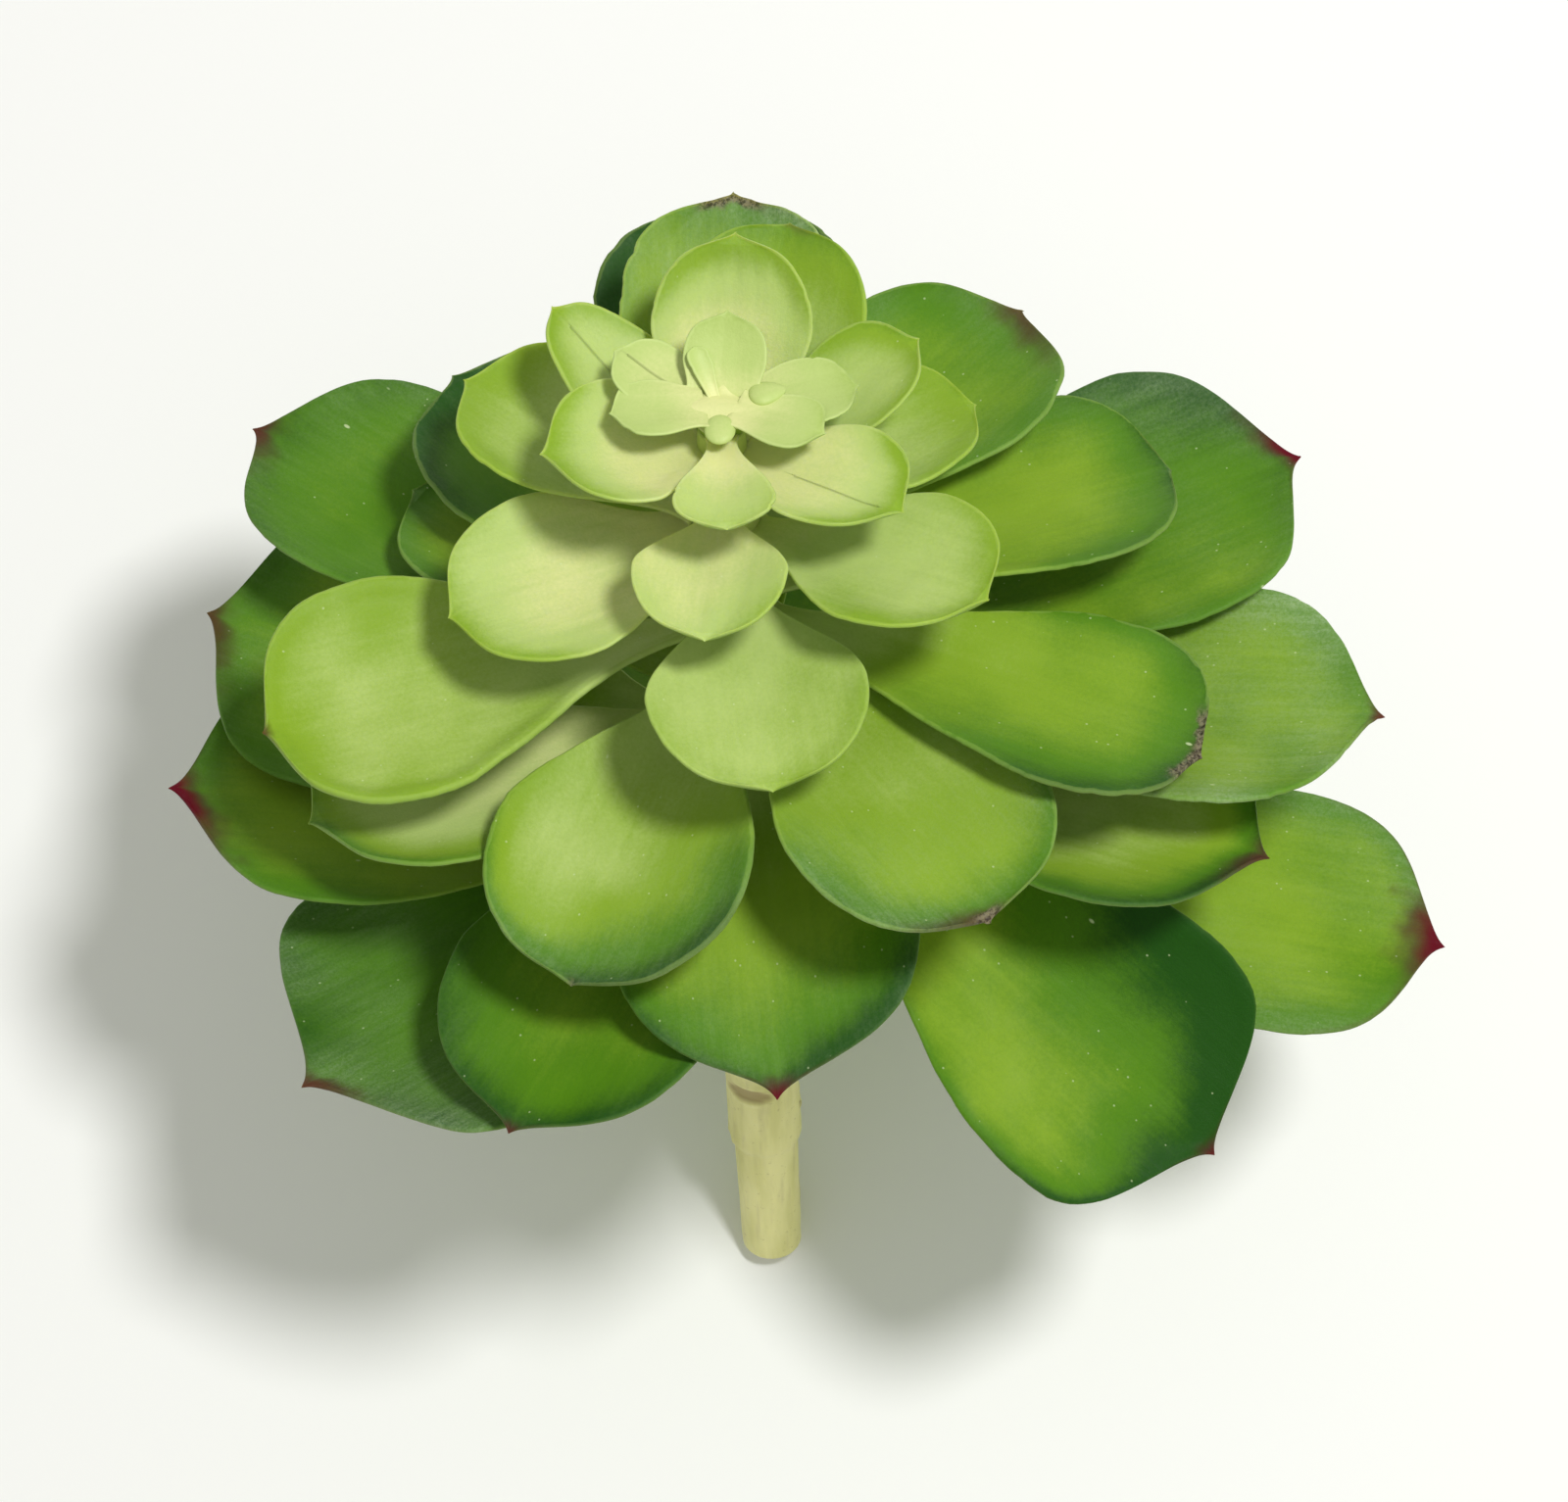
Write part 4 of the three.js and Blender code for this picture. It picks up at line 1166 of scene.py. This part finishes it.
class ECHEVERIA_OT_heart(bpy.types.Operator):
    """Build the heart: bud leaves on a small hub"""

    bl_idname = "echeveria.heart"
    bl_label = "Heart"
    bl_options = {"REGISTER", "UNDO"}

    def execute(self, context):
        parts = [hub_surface()] + [plump_bud(SimpleNamespace(**row)) for row in PLUMP_BUDS]
        for number, row in enumerate(BUDS + [FOLDED_BUD], 1):
            bud = grown("bud", number, row, BUD_FOOT, BUD_SCALE)
            rng = np.random.default_rng([SEED, 9, number])
            points, faces, values = blade(bud, context.scene.echeveria_leaves, rng)
            parts.append((in_place(points, bud.azimuth, HEART_FOOT + bud.rise), faces, values))
        points, faces, values = joined(parts)
        material = leaf_material("bud", **BUD_SKIN)
        add_piece("heart_buds", (laid(points), faces, values), material, ["heart"])
        return {"FINISHED"}


def scarred(radius, turn, height, scars):
    """A stem wall's radii with a flat scar and a crescent ridge for each fallen leaf, and the scars'
    mask: each lies within an ellipse, higher up and a golden angle further round than the last."""
    mask = 0 * radius
    for number in range(scars):
        around = (turn - FIRST_SCAR_TURN - number * GOLDEN_ANGLE + math.pi) % (2 * math.pi) - math.pi
        up = height - (FIRST_SCAR + SCAR_STEP * number)
        reach = np.hypot(around * STEM_GIRTH_RADIUS / SCAR_HALF_WIDTH, up / SCAR_HALF_HEIGHT)
        face = 1 - smooth((reach - 0.75) / 0.35)
        ridge = np.exp(-(((reach - 1.05) / 0.22) ** 2))
        radius = radius - SCAR_DEPTH * face + SCAR_RIDGE * ridge
        mask = np.maximum(mask, 0.9 * face)
    return radius, mask


def stem_surface(settings, rng):
    """The stem: rings whose radius follows the profile, softly uneven and scarred, with a cut face of
    smaller rings that is a little uneven too."""
    turn = np.linspace(0, 2 * math.pi, settings.sides, endpoint=False)[None, :]
    rounded, straight = np.linspace(0, 1.5, 8), np.linspace(1.5, STEM_HEIGHT, settings.rings)
    height = np.concatenate([rounded, straight[1:]])[:, None]
    radius = stem_radius(height) + 0 * turn
    radius = radius * (1 + 0.012 * np.sin(2 * turn + 1) + 0.008 * np.sin(3 * turn + height / 17))
    radius = radius + 0.08 * ripple(height + 0 * turn, 5 * turn, rng, "stem wall") * smooth(height / 3)
    radius, scar = scarred(radius, turn, height, settings.scars)
    wall = np.stack([radius * np.cos(turn), -radius * np.sin(turn), height + 0 * turn], -1)
    inside = np.linspace(0.12, 0.94, 12)[:, None]
    x, y = radius[:1] * inside * np.cos(turn), radius[:1] * inside * np.sin(turn)
    cut = np.stack([x, -y, 0.05 * ripple(x, y, rng, "cut face")], -1)
    ring = np.concatenate([cut, wall])
    rings, ring_size = ring.shape[:2]
    points = np.concatenate([ring.reshape(-1, 3), [[0, 0, 0], [0, 0, STEM_HEIGHT]]])
    masks = {name: np.zeros((rings, ring_size), np.float32) for name in ("cut", "ring", "scar")}
    masks["cut"][:len(inside)] = 1
    masks["ring"][:len(inside)] = np.exp(-(((inside - 0.62) / 0.07) ** 2))
    masks["scar"][len(inside):] = scar
    values = {name: np.append(mask, [mask[0].mean(), 0]).astype(np.float32) for name, mask in masks.items()}
    place = np.stack([ring[..., 2], STEM_GIRTH_RADIUS * turn + 0 * ring[..., 2], 0 * ring[..., 2]], -1)
    poles = [[0, 0, 0], [STEM_HEIGHT, 0, 0]]
    values["blade"] = np.concatenate([place.reshape(-1, 3), poles]).astype(np.float32)
    return points, tube_faces(rings, ring_size), values


class ECHEVERIA_OT_stem(bpy.types.Operator):
    """Build the cut stem with the scars of fallen leaves"""

    bl_idname = "echeveria.stem"
    bl_label = "Stem"
    bl_options = {"REGISTER", "UNDO"}

    def execute(self, context):
        rng = np.random.default_rng([SEED, 10])
        points, faces, values = stem_surface(context.scene.echeveria_stem, rng)
        add_piece("cut_stem", (laid(points), faces, values), stem_material(), ["stem"])
        return {"FINISHED"}


def camera_axes(settings):
    """The camera's right, up and backward directions: it looks down from the front, a little rolled."""
    back = Vector((0, -math.cos(settings.elevation), math.sin(settings.elevation)))
    level = Vector((1, 0, 0))
    right = level * math.cos(settings.roll) - back.cross(level) * math.sin(settings.roll)
    return right, back.cross(right), back


def facing(place, target):
    """A matrix for a lamp at a place that shines at the target."""
    turn = (target - place).to_track_quat("-Z", "Y")
    return Matrix.LocRotScale(place, turn, None)


class ECHEVERIA_OT_stage(bpy.types.Operator):
    """Set up the floor, the lamp, the surroundings and the camera"""

    bl_idname = "echeveria.stage"
    bl_label = "Stage"
    bl_options = {"REGISTER", "UNDO"}

    def execute(self, context):
        scene = context.scene
        settings = scene.echeveria_stage
        right, up, back = camera_axes(settings)
        target = Vector(settings.target)

        camera = bpy.data.objects.new("camera", bpy.data.cameras.new("camera"))
        camera.data.sensor_width = SENSOR_WIDTH
        camera.data.lens = settings.lens
        camera.data.clip_end = VIEW_END
        axes = Matrix((right, up, back)).transposed().to_4x4()
        camera.matrix_world = Matrix.Translation(target + back * settings.distance) @ axes
        scene.collection.objects.link(camera)
        scene.camera = camera

        toward_key = (back + KEY_RIGHT * right + KEY_UP * up).normalized()
        key = bpy.data.objects.new("key lamp", bpy.data.lights.new("key lamp", "AREA"))
        key.data.shape = "DISK"
        key.data.size = settings.key_size
        key.data.energy = settings.key_power
        key.matrix_world = facing(target + toward_key * settings.key_distance, target)
        scene.collection.objects.link(key)

        world = bpy.data.worlds.new("pale surroundings")
        world.use_nodes = True
        background = world.node_tree.nodes["Background"]
        background.inputs["Color"].default_value = (*settings.fill_color, 1)
        background.inputs["Strength"].default_value = settings.fill
        scene.world = world
        scene.view_settings.view_transform = "Standard"

        corners = [(x * FLOOR_HALF, y * FLOOR_HALF, 0) for x, y in ((-1, -1), (1, -1), (1, 1), (-1, 1))]
        mesh = bpy.data.meshes.new("studio_floor")
        mesh.from_pydata(corners, [], [(0, 1, 2, 3)])
        mesh.materials.append(floor_material())
        floor = bpy.data.objects.new("studio_floor", mesh)
        scene.collection.objects.link(floor)
        return {"FINISHED"}


class VIEW3D_PT_echeveria(bpy.types.Panel):
    """Lists the steps that build the echeveria head"""

    bl_idname = "VIEW3D_PT_echeveria"
    bl_label = "Echeveria head"
    bl_space_type = "VIEW_3D"
    bl_region_type = "UI"
    bl_category = "Echeveria"

    def draw(self, context):
        column = self.layout.column()
        for step in STEPS:
            column.operator(step.bl_idname)


SETTINGS = {
    "echeveria_leaves": EcheveriaLeafSettings,
    "echeveria_stem": EcheveriaStemSettings,
    "echeveria_colours": EcheveriaColourSettings,
    "echeveria_stage": EcheveriaStageSettings,
}
STEPS = [
    ECHEVERIA_OT_stage, ECHEVERIA_OT_stem, ECHEVERIA_OT_skirt, ECHEVERIA_OT_outer, ECHEVERIA_OT_middle,
    ECHEVERIA_OT_upper, ECHEVERIA_OT_inner, ECHEVERIA_OT_heart,
]


def register():
    for kind in [*SETTINGS.values(), *STEPS, VIEW3D_PT_echeveria]:
        bpy.utils.register_class(kind)
    for name, kind in SETTINGS.items():
        setattr(bpy.types.Scene, name, PointerProperty(type=kind))


def unregister():
    for name in SETTINGS:
        delattr(bpy.types.Scene, name)
    for kind in reversed([*SETTINGS.values(), *STEPS, VIEW3D_PT_echeveria]):
        bpy.utils.unregister_class(kind)


def main():
    register()
    for step in STEPS:
        family, name = step.bl_idname.split(".")
        getattr(getattr(bpy.ops, family), name)()


if __name__ == "__main__":
    main()
